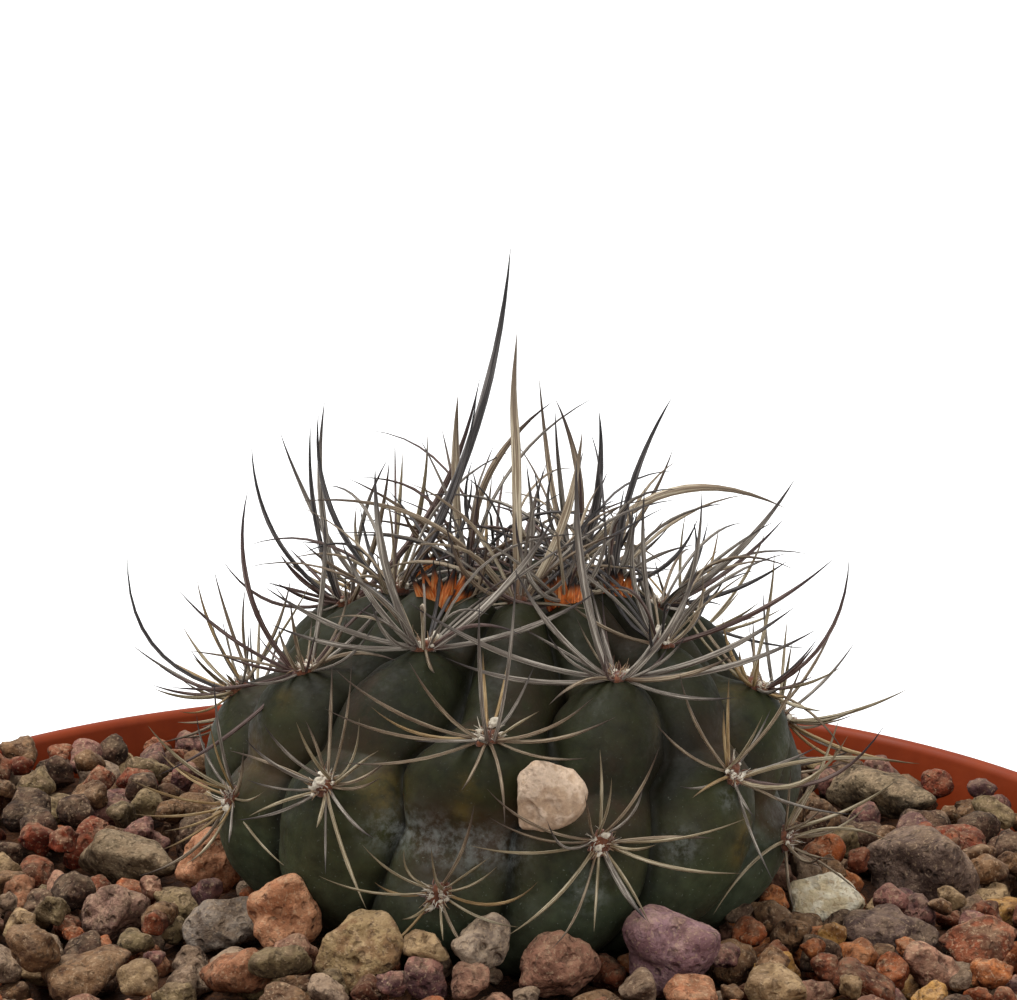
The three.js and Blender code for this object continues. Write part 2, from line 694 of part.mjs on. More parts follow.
// Rough stone: a rounded block of triangles, turned, with its corners pushed in and out
function stoneOf({ at, half, turn }, seed, clearance = 0) {
  const draw = drawsFrom(seed);
  const size = new THREE.Vector3(...half).addScalar(clearance);
  const source = new THREE.IcosahedronGeometry(1, 1).getAttribute('position');
  const points = [];
  const triangles = [];
  const found = new Map();
  const spin = new THREE.Euler(0, 0, radians(turn));
  for (let i = 0; i < source.count; i += 1) {
    const corner = new THREE.Vector3().fromBufferAttribute(source, i);
    const key = corner.toArray().map((v) => Math.round(v * 1000)).join();
    if (!found.has(key)) {
      found.set(key, points.length);
      corner.multiplyScalar(mix(...CORNERS_AT, draw())).multiply(size);
      points.push(corner.applyEuler(spin).add(new THREE.Vector3(...at)));
    }
    if (i % 3 === 0) {
      triangles.push([]);
    }
    triangles.at(-1).push(found.get(key));
  }
  return solid(points, triangles);
}

const NAMED_STONES = Object.entries(STONES);

// Steps from a stone to its six neighbours on the slanted grid, in turning order
const NEIGHBOURS = [[1, 0], [0, 1], [-1, 1], [-1, 0], [0, -1], [1, -1]];

// Loose stones on a slanted grid with jitter. Each has a top, a shoulder of six points and six
// low corners that it shares with its neighbours.
function gravelSurface(draw) {
  const reach = Math.ceil(RIM_RADIUS / STONE_SPACING / Math.sqrt(0.75)) + 1;
  const inside = (q, r) => Math.max(Math.abs(q), Math.abs(r), Math.abs(q + r)) <= reach;
  const stones = new Map();
  for (let r = -reach; r <= reach; r += 1) {
    for (let q = -reach; q <= reach; q += 1) {
      const x = (q + r / 2) * STONE_SPACING + mix(-STONE_JITTER, STONE_JITTER, draw());
      const y = r * STONE_SPACING * Math.sqrt(0.75) + mix(-STONE_JITTER, STONE_JITTER, draw());
      const top = mix(...STONE_RISES, draw());
      if (inside(q, r)) {
        stones.set(`${q},${r}`, { q, r, x, y, top });
      }
    }
  }
  const points = [];
  const triangles = [];
  const kept = new Map();
  const put = (key, x, y, rise) => {
    if (!kept.has(key)) {
      kept.set(key, points.length);
      points.push(new THREE.Vector3(x, y, bedHeight(x, y) + rise));
    }
    return kept.get(key);
  };
  const around = (stone, k) => {
    const [q, r] = NEIGHBOURS[(k + 6) % 6];
    return stones.get(`${stone.q + q},${stone.r + r}`);
  };
  const cornerAt = (stone, k) => {
    const trio = [stone, around(stone, k), around(stone, k + 1)];
    if (trio.some((each) => !each)) {
      return null;
    }
    const key = trio.map((each) => `${each.q},${each.r}`).sort().join(' ');
    const x = trio.reduce((sum, each) => sum + each.x / 3, 0);
    const y = trio.reduce((sum, each) => sum + each.y / 3, 0);
    return { key, x, y };
  };
  for (const stone of stones.values()) {
    stone.corners = [0, 1, 2, 3, 4, 5].map((k) => cornerAt(stone, k));
    stone.whole = stone.corners.every((corner) => corner);
  }
  for (const stone of stones.values()) {
    if (stone.whole) {
      const top = put(`${stone.q},${stone.r}`, stone.x, stone.y, stone.top);
      stone.shoulder = stone.corners.map((corner, k) => put(
        `${stone.q},${stone.r},${k}`,
        mix(stone.x, corner.x, STONE_SHOULDER),
        mix(stone.y, corner.y, STONE_SHOULDER),
        stone.top * SHOULDER_RISE,
      ));
      stone.shoulder.forEach((here, k) => {
        triangles.push([top, here, stone.shoulder[(k + 1) % 6]]);
      });
    }
  }
  for (const stone of stones.values()) {
    for (const k of [0, 1, 2]) {
      const other = around(stone, k);
      if (stone.whole && other?.whole) {
        const before = stone.corners[(k + 5) % 6];
        const after = stone.corners[k];
        const low = put(before.key, before.x, before.y, 0);
        const high = put(after.key, after.x, after.y, 0);
        const near = [stone.shoulder[(k + 5) % 6], stone.shoulder[k]];
        const far = [other.shoulder[(k + 3) % 6], other.shoulder[(k + 2) % 6]];
        triangles.push([near[0], low, far[0]], [near[0], far[0], far[1]]);
        triangles.push([near[0], far[1], near[1]], [near[1], far[1], high]);
      }
    }
  }
  return { points, triangles };
}

// Solid between a surface and a flat foot under it
function slabUnder({ points, triangles }, foot) {
  const sides = new Set(triangles.flatMap(([a, b, c]) => [`${a},${b}`, `${b},${c}`, `${c},${a}`]));
  const all = [...points, new THREE.Vector3(0, 0, foot)];
  const centre = points.length;
  const under = new Map();
  const drop = (i) => {
    if (!under.has(i)) {
      under.set(i, all.length);
      all.push(new THREE.Vector3(points[i].x, points[i].y, foot));
    }
    return under.get(i);
  };
  const closed = [...triangles];
  for (const side of sides) {
    const [a, b] = side.split(',').map(Number);
    if (!sides.has(`${b},${a}`)) {
      closed.push([b, a, drop(a)], [b, drop(a), drop(b)], [drop(b), drop(a), centre]);
    }
  }
  return solid(all, closed);
}

function makeGravel() {
  const foot = GRAVEL_AT_WALL - GRAVEL_DEPTH;
  const heap = slabUnder(gravelSurface(drawsFrom(SEEDS.gravel)), foot);
  const overStones = POT_HEIGHT + STONE_SPACING;
  const inside = potInside(foot - 1, overStones, FIT);
  const room = turned([[0, foot - 1], ...inside, [0, overStones]], POT_SIDES);
  const sockets = NAMED_STONES.map(([, stone], i) => stoneOf(stone, i + 1, SOCKET_FIT));
  const cut = heap.intersect(room).subtract(wasm.Manifold.union([makeStemHole(), ...sockets]));
  return biggest(cut);
}

function makeSoil() {
  const top = GRAVEL_AT_WALL - GRAVEL_DEPTH - FIT;
  const foot = POT_FLOOR + FIT;
  const block = turned([[0, foot], ...potInside(foot, top, FIT), [0, top]], POT_SIDES);
  return block.subtract(makeStemHole());
}

function makePart() {
  const part = new THREE.Group();
  part.name = 'potted_cactus';
  part.add(meshOf('pot', makePot(), COLOURS.pot, ROUGHNESS.pot));
  part.add(meshOf('soil', makeSoil(), COLOURS.soil, ROUGHNESS.soil));
  part.add(meshOf('gravel', makeGravel(), COLOURS.gravel, ROUGHNESS.gravel));
  part.add(meshOf('cactus', makeCactus(), COLOURS.cactus, ROUGHNESS.cactus));
  const hole = makeStemHole();
  NAMED_STONES.forEach(([name, stone], i) => {
    const shape = biggest(stoneOf(stone, i + 1).subtract(hole));
    part.add(meshOf(`stone_${name}`, shape, stone.colour, ROUGHNESS.stone));
  });
  const skinAround = loft(stemRings(SEAT_MESH, FIT));
  const lodged = biggest(stoneOf(LODGED, SEEDS.lodged).subtract(skinAround));
  part.add(meshOf('stone_lodged', lodged, LODGED.colour, ROUGHNESS.stone));
  return part;
}

export default makePart();
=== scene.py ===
"""Small ribbed cactus with long upswept spines, in mixed gravel in a round plastic pot.

Lengths are in millimetres while shapes are worked out, and are turned into metres as each
piece is made. Z is up, the side seen in the photo faces -Y.
"""

import math

import bmesh
import bpy
import numpy as np
from mathutils import Matrix, Vector


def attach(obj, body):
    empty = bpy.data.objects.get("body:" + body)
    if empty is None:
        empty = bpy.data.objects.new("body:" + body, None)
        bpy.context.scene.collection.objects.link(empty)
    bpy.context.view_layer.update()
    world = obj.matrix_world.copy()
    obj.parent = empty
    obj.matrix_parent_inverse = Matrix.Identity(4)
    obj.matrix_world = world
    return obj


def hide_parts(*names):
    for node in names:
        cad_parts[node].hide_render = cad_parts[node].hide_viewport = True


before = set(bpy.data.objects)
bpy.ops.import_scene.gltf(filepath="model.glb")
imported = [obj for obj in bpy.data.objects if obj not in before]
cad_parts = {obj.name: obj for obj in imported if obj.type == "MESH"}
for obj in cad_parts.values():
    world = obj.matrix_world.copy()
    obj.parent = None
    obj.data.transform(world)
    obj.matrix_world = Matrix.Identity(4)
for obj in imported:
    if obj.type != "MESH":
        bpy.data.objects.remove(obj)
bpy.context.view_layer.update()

MM = 0.001

# Camera, fitted to the pot's far rim in the photo: lengths in mm, angles in degrees
IMAGE_WIDTH = 1017
FOCAL_PIXELS = 3943
SENSOR_WIDTH = 36
CAMERA_DISTANCE = 330
CAMERA_ELEVATION = 17.9
CAMERA_YAW = 0.2
CAMERA_PITCH = 12.4
CAMERA_ROLL = 1.0
CLIP_START = 10

# Pot, a standard 12 cm one
POT_HEIGHT = 92
RIM_RADIUS = 60
RIM_BAND = 18
RIM_STEP = 1.6
FOOT_RADIUS = 43
FOOT_WIDTH = 5
FOOT_RECESS = 2
POT_WALL = 1.6
POT_EDGE = 0.8
POT_SIDES = 192
POT_ROUNDING = 0.9
POT_ROUNDING_STEPS = 4
ROUNDED_SHARE = 0.45
POT_SHARP_ANGLE = 35
DRAIN_RADIUS = 4
DRAIN_CIRCLE = 27
DRAIN_COUNT = 6
DRAIN_SIDES = 40

# Stem: a broad low dome, measured up from its foot
STEM_AT = np.array([1.2, 1.5, POT_HEIGHT - 4])
STEM_RADIUS = 25
BELT = 12
CROWN_RISE = 15.5
FOOT_DROP = 14.5
CROWN_POWER = 0.75
FOOT_POWER = 0.7
FOOT_ANGLE = 150
SIDE_SHARE = 0.965
SIDE_CROWN_POWER = 0.15
SIDE_FOOT_POWER = 0.4
CROWN_DIMPLE = 2.5
DIMPLE_RADIUS = 4
CROWN_SWELL = 1.6
SWELL_RADIUS = 7
SWELL_WIDTH = 4
STEM_COLUMNS = 28
STEM_ROWS = 190
STEM_TOP_ANGLE = 1.5
SKIN_RELIEF = [(5.0, 0.26), (1.7, 0.12), (0.6, 0.03)]

# Ribs
RIB_COUNT = 13
RIB_STEP = 360 / RIB_COUNT
FIRST_RIB = -7
LEAN_ZERO = 72
LEAN = 0.1
LEAN_SWING = 0.2
LEAN_TOWARDS = 45
FURROW_DEPTH = 3.4
FURROW_FADE = 28
FURROW_LOW_SHARE = 0.6
FURROW_LOW_FROM = 55
FURROW_LOW_TO = 95
RIDGE_POWER = 0.55
CHIN = 1.1
CHIN_POWER = 0.6
CHIN_FADE = 18
CHIN_IN_FURROW = 0.35
CHIN_PEAK = 0.2
CHIN_NOTCH = 0.75
FURROW_SWAY = 3
AREOLE_GAP = 70
SLOPE_STEP = 0.06

# Areoles down each rib, in degrees from the crown
AREOLES = [
    [10, 57, 93],
    [13, 39, 85],
    [32, 73],
    [17, 56, 97],
    [31, 76],
    [14, 58, 99],
    [38, 84],
    [24, 66],
    [12, 50, 92],
    [37, 79],
    [20, 64],
    [7, 46, 86],
    [28, 75],
]
AREOLE_PLACES = [(rib, nth, theta) for rib, thetas in enumerate(AREOLES)
                 for nth, theta in enumerate(thetas)]

# Coloured patches of the skin: rib, share across it, degrees from the crown and width in mm
SKIN_PATCHES = {
    "ochre": [
        (1, 0.8, 54, 0.9), (1, 0.82, 59, 0.9), (0, 0.5, 71, 1.0), (0, 0.52, 78, 1.0),
        (2, 0.6, 90, 1.3), (2, 0.62, 86, 1.2), (12, 0.85, 72, 1.8), (12, 0.95, 76, 1.4),
        (11, 0.64, 56, 1.0), (11, 0.5, 72, 1.5), (3, 0.2, 52, 1.4), (2, 0.9, 62, 1.6),
        (5, 0.7, 70, 1.5), (7, 0.3, 50, 1.4), (8, 0.6, 75, 1.5), (9, 0.2, 60, 1.3),
    ],
    "brown": [
        (0, 0.7, 34, 2.0), (0, 0.72, 44, 2.0), (0, 0.5, 45, 1.6), (0, 0.5, 22, 1.8),
        (12, 0.3, 44, 2.2), (12, 0.4, 52, 2.2), (12, 0.45, 66, 1.6), (2, 0.3, 68, 2.0),
        (2, 0.75, 74, 1.8), (1, 0.2, 76, 2.0), (1, 0.5, 34, 1.5), (10, 0.5, 12, 2.0),
        (9, 0.5, 26, 2.2), (5, 0.4, 45, 2.2), (7, 0.6, 55, 2.2), (8, 0.4, 38, 2.2),
    ],
    # Patches of painted shade on the darkest sides of tubercles
    "shaded": [
        (1, 0.97, 58, 2.2), (1, 0.97, 66, 2.6), (1, 0.95, 74, 2.4), (2, 0.1, 62, 2.0),
        (12, 0.1, 55, 1.8), (12, 0.05, 48, 1.8), (0, 0.95, 52, 1.5), (0, 0.05, 62, 1.4),
        (4, 0.1, 60, 2.0), (6, 0.1, 60, 2.0), (8, 0.9, 65, 2.0), (10, 0.1, 50, 2.0),
    ],
    "bloom": [
        (0, 0.1, 84, 1.7), (0, 0.4, 86, 1.9), (0, 0.7, 87, 1.9), (1, 0.0, 88, 1.8),
        (1, 0.5, 92, 1.7), (2, 0.15, 88, 1.5), (2, 0.45, 79, 1.0), (12, 0.9, 85, 1.5),
        (2, 0.9, 92, 1.1), (6, 0.4, 88, 1.5), (9, 0.6, 86, 1.5), (4, 0.6, 88, 1.5),
    ],
}

# Spines that the photo shows. Each row gives a spine's kind, then its tip from its areole in mm:
# right, back and up, then its thickness, and how far it sags below its chord where that isn't
# the usual share of its length. fill is the number of further spines that the rule adds.
SEEN_SPINES = {
    (0, 0): (5, [
        ("tan", -17.5, -2, 8.5, 0.42, -3), ("fibrous", -0.5, 0, 22, 0.85),
        ("fibrous", 5, 1, 14, 0.72),
    ]),
    (0, 1): (1, [
        ("tan", -6, -6, 7.5, 0.38), ("tan", -11.5, -7, 7, 0.38), ("tan", -12.5, -7, 4, 0.36),
        ("tan", -11, -6, -0.5, 0.38), ("grey", 2, -9, 16, 0.36), ("grey", -1, -12, 14, 0.46),
        ("tan", 8, -8, 5.5, 0.38), ("tan", 9.5, -8, 4, 0.4), ("tan", 7.5, -7, 0.5, 0.3),
        ("tan", 1.5, -7, -5, 0.36, -1), ("tan", -2, -6, -2.5, 0.32),
    ]),
    (0, 2): (2, [
        ("straw", -9, -5, 3, 0.3), ("straw", -5.5, -5, 5.5, 0.28), ("straw", -0.5, -5, 5.5, 0.26),
        ("straw", 4.5, -5, 4, 0.28), ("straw", 6.5, -4.5, -1, 0.3), ("straw", 0.5, -5, -2, 0.28),
        ("straw", -2.5, -6, 0, 0.28),
    ]),
    (1, 1): (1, [
        ("grey", -3.5, 2, 17, 0.68), ("grey", 6, -3, 10, 0.5), ("grey", 13.5, -4, 7, 0.52),
        ("grey", 15, -7, 6, 0.5), ("grey", 9, -7, 0.5, 0.34), ("tan", 9, -7, 4, 0.4),
        ("grey", -13.5, -8, 3.5, 0.44), ("grey", -16.5, -6, 7.5, 0.46),
        ("grey", -8.5, -5, 10, 0.46), ("tan", -5.5, -6.5, -0.5, 0.34, -0.8),
    ]),
    (1, 2): (0, [
        ("tan", -1.5, -7, 6, 0.3), ("straw", 0.5, -6, 7, 0.28), ("tan", 4, -6, 9.5, 0.34),
        ("straw", 11, -4, 3.5, 0.3), ("straw", 4, -5, 1.5, 0.34), ("straw", 10.5, -4, -1, 0.42),
        ("grey", 3.5, -5, -4.5, 0.68), ("straw", -0.5, -6.5, -5, 0.34),
        ("straw", -7, -9, -4.5, 0.42), ("straw", -10, -6, 1.5, 0.36),
        ("tan", -9, -9.5, 7, 0.34), ("tan", -8.5, -8.5, 4.5, 0.3),
    ]),
    (2, 0): (5, [
        ("maroon", 13.5, -3, 8, 0.42), ("grey", -1.5, 2, 12.5, 0.42), ("grey", 3, 1, 12.5, 0.38),
        ("tan", -8, -4, 4.5, 0.34),
    ]),
    (2, 1): (2, [
        ("tan", -4.5, -3, 9, 0.38), ("tan", -6.5, -5, 5.5, 0.34), ("straw", 2, -4, 6, 0.3),
        ("straw", 8.5, -6, 5, 0.5, 2), ("maroon", 11.5, -4, 5.5, 0.44, 2.5),
        ("straw", 14, -3, 2, 0.44, -1), ("grey", 9.5, -4, -2, 0.3), ("grey", 3, -6, -7, 0.34),
        ("grey", -4.5, -7, 1, 0.28),
    ]),
    (3, 0): (6, [
        ("black", 5, 0, 16, 0.56, -1), ("grey", 5.5, -3, 9, 0.36, -3), ("grey", 2, -2, 7.5, 0.34),
    ]),
    (3, 1): (2, [
        ("maroon", 7, -2, 11.5, 0.5, 2), ("maroon", 4.5, -3, 4.5, 0.36), ("black", 5, 1, 4, 0.26),
        ("maroon", 4.5, -2, 1.5, 0.3), ("golden", 2.5, -3, 0, 0.36),
        ("tan", 7, -4, -4.5, 0.32, -1), ("golden", -2.5, -3, 3.5, 0.44),
        ("golden", -1.5, 0, 3, 0.44), ("golden", 0, -2, 3, 0.46), ("golden", -2.5, 1, 1.5, 0.42),
    ]),
    (3, 2): (2, [
        ("tan", 2.5, -2, 3, 0.3), ("tan", 2.5, 0, 1.5, 0.3), ("straw", 8.5, 1, -0.5, 0.4, -1),
        ("tan", 2.5, -3, -1.5, 0.3), ("tan", 4, -1, -1.5, 0.3), ("tan", 0, -4.5, -3, 0.3),
        ("straw", -6.5, -12, -2.7, 0.38, -1), ("tan", 5, 2, 0.5, 0.3), ("tan", 0, -2, 6.5, 0.28),
    ]),
    (4, 0): (5, [
        ("grey", 11, 0, 11, 0.56), ("black", 10.5, -2, 4.5, 0.42), ("maroon", 10.5, 3, 7, 0.44),
        ("grey", 3, 0, 5, 0.34), ("black", 13, 4, -4.5, 0.3), ("grey", 9, 4, 5, 0.3),
    ]),
    (5, 0): (6, [
        ("black", 2, 0, 13.5, 0.68), ("brown", -1.5, 2, 14, 0.62, -2),
        ("fibrous", 18, 2, 5, 0.8, -4), ("maroon", 0.5, -2, 10.5, 0.32),
    ]),
    (8, 0): (7, [("brown", 7, 0, 14, 0.62, -2), ("fibrous", -1, 2, 14, 0.76)]),
    (9, 0): (2, [
        ("maroon", 11, 2, 19, 0.6, 2), ("grey", -2, 1, 17, 0.56), ("black", -3, -2, 15.5, 0.46),
        ("black", -8, 0, 13.5, 0.42, 2), ("grey", 3.5, -3, 13, 0.4, -1),
        ("maroon", -10.5, 0, 3.5, 0.34, 2), ("maroon", -5.5, -2, 4.5, 0.46),
        ("maroon", -5.5, -4, 2.5, 0.36),
    ]),
    (10, 0): (5, [
        ("black", -6.5, 1, 14.5, 0.5, 2), ("brown", -7.5, -3, 4.5, 0.34), ("black", 9, 3, 28, 0.78),
        ("black", 6.5, -1, 17, 0.38),
    ]),
    (10, 1): (4, [
        ("black", -9, 0, 11.5, 0.44, 3), ("maroon", -7, -1, 0.5, 0.36),
        ("maroon", -6.5, 1, 1.5, 0.4), ("maroon", -3, 1, 0, 0.26), ("grey", -1.5, 3, 5.5, 0.2),
        ("grey", -2, -1, 6, 0.2),
    ]),
    (11, 1): (2, [
        ("maroon", -4.5, -1, 15, 0.46, 2), ("maroon", -10, -2, 7, 0.34),
        ("maroon", -10.5, -4, -0.5, 0.36), ("maroon", -11.5, -5, -7.5, 0.36),
        ("tan", -1, -4, 7, 0.36), ("tan", 3.5, -4, 5.5, 0.36), ("tan", 7.5, -6, 2.5, 0.36, -1),
        ("tan", -2, -2, 4, 0.32),
    ]),
    (11, 2): (2, [
        ("golden", -1.5, -3, 7.5, 0.26), ("golden", -4.5, -2, 3.5, 0.3),
        ("golden", -8, -3, 2.5, 0.32), ("golden", -7.5, -3, -0.5, 0.32),
        ("golden", -5, -4, -1.5, 0.3), ("golden", -5.5, -3, -3.5, 0.3),
        ("golden", -1, -5, -1, 0.26), ("straw", 3, -6, 2.5, 0.28), ("straw", 5, -7, -3.5, 0.3),
    ]),
    (12, 0): (3, [
        ("grey", -4, 0, 14.5, 0.7), ("grey", -6.5, -2, 9, 0.5), ("grey", -12.5, -3, 5.5, 0.48),
        ("grey", -12, -5, 3, 0.42), ("grey", 10.5, -3, 12, 0.6), ("grey", 13.5, -5, 6, 0.5),
        ("tan", 1, -6, -0.5, 0.3),
    ]),
    (12, 1): (1, [
        ("tan", 2, -4, 11, 0.28), ("straw", -2, -5, 6.5, 0.38), ("grey", -4.5, -4, 6, 0.38),
        ("grey", -6, -3, 4.5, 0.38), ("grey", -6, -2, 1, 0.28), ("grey", -6.5, -3, -2, 0.38),
        ("grey", 0.5, -7, -5, 0.26), ("straw", 3.5, -7.5, -7.5, 0.44), ("grey", 4, -7, -2, 0.4),
        ("tan", 5, -6, 4, 0.38), ("tan", 4.5, -6, 2.5, 0.34),
    ]),
}

# Spines set by the rule, on the areoles that the photo hides
SPINES_AN_AREOLE = 8
MIDDLE_SHARE = 1 / 3
OUTER_LENGTHS = (8, 12)
OUTER_LIFTS = (22, 38)
MIDDLE_LENGTHS = (12, 20)
MIDDLE_LIFTS = (55, 75)
LOW_AREOLE = 50
LOW_MIDDLE_LENGTHS = (9, 12)
CROWN_ANGLE = 35
CROWN_MIDDLE_LENGTHS = (7, 12)
CLOCK_JITTER = 0.12
SAG_SHARE = 0.06
CROWN_SAG_SHARE = 0.15
RULED_WIDTH = 0.24
WIDTH_A_MM = 0.016
WIDEST_RULED = 0.55
RULED_WANDER = 0.4

# Room that spines keep over the gravel and to the skin, and how they are pushed out to keep it
SPINE_CLEAR = 5
SPINE_TO_SKIN = 1.5
SPINE_TESTED_AT = (0.6, 1)
PUSHED_OUT = 0.5

# Steps along the skin that give an areole its directions: in degrees, and in shares of a rib
AREOLE_STEP = 1
AREOLE_SHARE_STEP = 0.02

# Shape of each spine: its ring on the areole, its root in the skin, its taper, and how far it
# wanders off its bow. A mesh is given as rings and sides.
SPINE_RING = 0.7
SPINE_SINK = 1.8
SPINE_ROOT = 0.3
TAPER_SHARE = 0.42
TAPER_POWER = 0.75
LEAST_TAPER = 0.04
SPINE_BODY = 0.9
SPINE_BELLY = 0.06
SPINE_BELLY_AT = 0.4
SPINE_FOOT_SWELL = 0.25
SPINE_FOOT_FADE = 22
SPINE_ROOT_WIDTH = 0.6
SEEN_WANDER = 0.25
WANDER_LENGTH = 6
LOW_WIDTH_SHARE = 0.8
SPINE_UNEVEN = 0.07
UNEVEN_A_MM = 0.9
NEARLY_UPRIGHT = 0.05
THICK_SPINE = 0.4
THICK_MESH = (15, 8)
THIN_MESH = (11, 6)
OFF_ANY_SPINE = [0.31, 0.52, 0.8]

# Finer spines between the others
FINE_SPINES = 6
SIDE_FINE_SPINES = 9
FINE_LENGTHS = (5, 11)
FINE_LIFTS = (12, 40)
CROWN_FINE_SPINES = 14
CROWN_FINE_LENGTHS = (8, 18)
CROWN_FINE_LIFTS = (10, 42)
ARCH_SHARES = (-0.2, -0.03)
FINE_SAG_SHARES = (-0.05, 0.16)
FINE_WIDTHS = (0.2, 0.34)
FINE_WANDER = 0.5
FINE_CLEAR = 1
FINE_JITTER = 0.6

# Steps that set one layer, spine or stone apart from the next in the same noise, and how many
# seeds or places the spines and stones share
LAYER_STEP = 17.3
SPINE_STEP = 3.7
STONE_STEP = 5.3
FIBRE_STEP = 7.31
WANDER_SEEDS = 97
UNEVEN_SEEDS = 31
LUMP_PLACES = 89
LUMP_SEEDS = 61

# Seeds of all random draws and noises
SEEDS = {
    "spines": 20261130, "fine": 5501, "wool": 77, "young": 311, "gravel": 907, "skin": 11,
    "tufts": 3, "bed": 5, "placed stones": 40, "near": 1000, "side": 2000, "far": 3000,
}

# Spine kinds: colours at the root, in the middle and at the tip, and of the streaks along it
SPINE_KINDS = {
    "grey": ("4a2620", "645a50", "2f2726", "bdb4a6"),
    "black": ("3a2320", "2f2b2b", "141112", "7b7470"),
    "maroon": ("4a241f", "463029", "211317", "8c7870"),
    "brown": ("5a3826", "594636", "2b1d18", "a8967e"),
    "tan": ("613722", "6a5743", "43352b", "b8a88e"),
    "fibrous": ("6a4832", "86735c", "5f5040", "d2c5ab"),
    "straw": ("80502c", "807053", "6f6149", "cdc1a6"),
    "golden": ("7d4f2c", "886b42", "655033", "c4ad84"),
    "young": ("b23c18", "cf6826", "160d0b", "eba567"),
}

# Kinds that the rule draws from: dark and mixed at the crown, pale on the old areoles low down
CROWN_KINDS = ["black", "grey", "maroon", "brown", "grey", "fibrous"]
SIDE_KINDS = ["grey", "grey", "tan", "maroon"]
LOW_KINDS = ["straw", "tan", "straw", "tan", "grey", "golden"]

# Wool on the areoles: first and second colour of each kind
WOOL_KINDS = {
    "white wool": ("ab9f8b", "dcd2c0"),
    "tan wool": ("6d4f35", "a88a66"),
    "rust wool": ("4a2a1d", "7a4a32"),
}

# Pad of wool on each areole, the hair on it and the bits beside it
WOOL_RADIUS = 0.95
WOOL_RISE = 0.6
WOOL_SINK = 0.1
WOOL_STRETCH = 1.15
HAIR_MIX = ["white wool", "white wool", "tan wool", "tan wool", "rust wool"]
HAIRS_AN_AREOLE = 48
HAIR_LENGTHS = (0.4, 1.1)
HAIR_WIDTHS = (0.08, 0.14)
HAIR_LIFTS = (5, 80)
HAIR_CURL = 0.45
HAIR_TURN = 0.8
HAIR_FOOT = 0.3
HAIR_TIP = 0.2
HAIR_RINGS = 5
HAIR_SIDES = 4
BITS_AN_AREOLE = 6
BIT_RADII = (0.14, 0.32)
BIT_REACHES = (0.3, 1.2)
BIT_LIFT = 0.35
BIT_STRETCH = 1.3
TUFT_LUMPS = [(1, 0.35), (0.4, 0.25)]
PAD_LEVEL = 4
BIT_LEVEL = 2

# Balls of wool: rib, degrees from the crown, right, up, radius and kind
WOOL_BALLS = [
    (12, 28, 0.6, 1.0, 0.5, "white wool"), (2, 32, 0.2, 0.3, 0.62, "white wool"),
    (0, 10, 0.3, 0.6, 0.6, "white wool"), (0, 57, 0.1, 1.0, 0.4, "white wool"),
    (12, 75, 0, 0, 0.42, "white wool"),
]
BALL_LIFT = 0.7

# Bunches of young spines at the crown: rib, share across it, degrees from the crown, count, then
# the length and the half width of the bunch in mm
YOUNG_BUNCHES = [
    (11, 0.95, 13, 17, 4.8, 2.1), (1, 0.35, 14, 11, 4.2, 1.5), (3, 0.3, 20, 10, 3.6, 1.3),
    (9, 0.5, 16, 7, 2.8, 1.0), (7, 0.5, 20, 7, 2.8, 1.0),
]
YOUNG_RADII = (0.42, 0.6)
YOUNG_FLATNESS = 0.4
YOUNG_REACHES = (0.6, 1.05)
YOUNG_LEAN = 0.15
YOUNG_AIM = np.array([0, -0.1, 1])
YOUNG_OUTWARD = 0.2
YOUNG_FOOT_SPREAD = 0.6
YOUNG_TIP_SPREAD = 0.25
YOUNG_BOW = 0.25
YOUNG_EDGE_SHORTER = 0.25
YOUNG_ROW = 1.2
YOUNG_SINK = 0.6
YOUNG_TAPER_POWER = 1.9
YOUNG_RINGS = 9
YOUNG_SIDES = 7

# Gravel bed, level by the wall and mounded up around the plant, with heaps against the front of
# the plant and by the wall at the back: place, reach and rise
GRAVEL_AT_WALL = POT_HEIGHT - 5.2
GRAVEL_AT_PLANT = POT_HEIGHT - 1.8
MOUND_RADIUS = 27
MOUND_END = 54
HEAPS = [((-4, -22), 30, 2.4), ((-46, 32), 28, 3.2), ((46, 34), 24, 2.0)]
BED_DROP = 1.4
BED_CELLS = 240
BED_RELIEF = [(5.0, 0.5), (1.6, 0.3)]

# Dark crumbs under the stones
CRUMB_RELIEF = [(5.0, 0.5), (1.6, 0.35), (0.8, 0.3)]
CRUMB_ROWS = 60
CRUMB_COLUMNS = 240
CRUMB_FROM = 12
CRUMB_TO_WALL = 0.25
CRUMB_FOOT = 4

# Shape of a stone, its tilt and its shade. Lumps are a size and a height as shares of the
# stone's own size, grain is the same in mm, and a level is how finely its ball is divided.
STONE_LUMPS = [(0.85, 0.21), (0.4, 0.09)]
STONE_GRAIN = [(0.55, 0.1), (0.25, 0.05)]
STONE_SIDES = 12
STONE_WEAR = 1.0
LODGED_SIDES = 8
LODGED_WEAR = 0.5
LODGED_FROM = POT_HEIGHT + 5
DENT_SIDES = 1.25
PLACED_LEVEL = 5
STONE_LEVEL = 4
FAR_LEVEL = 3
STONE_CORNERS = 11
STONE_ROUNDING = 0.8
STONE_SHADES = (0.78, 1.14)
STONE_SIDE_DEPTHS = (0.68, 1.0)
STONE_PITS = (0.25, 0.7)
PITS_A_MM = 2
PIT_DEPTH = 0.35
STONE_SPREAD = (0.88, 1.12)
STONE_LENGTHS = (1.0, 1.4)
STONE_FLATNESS = (0.75, 1.0)
STONE_TILT = 24

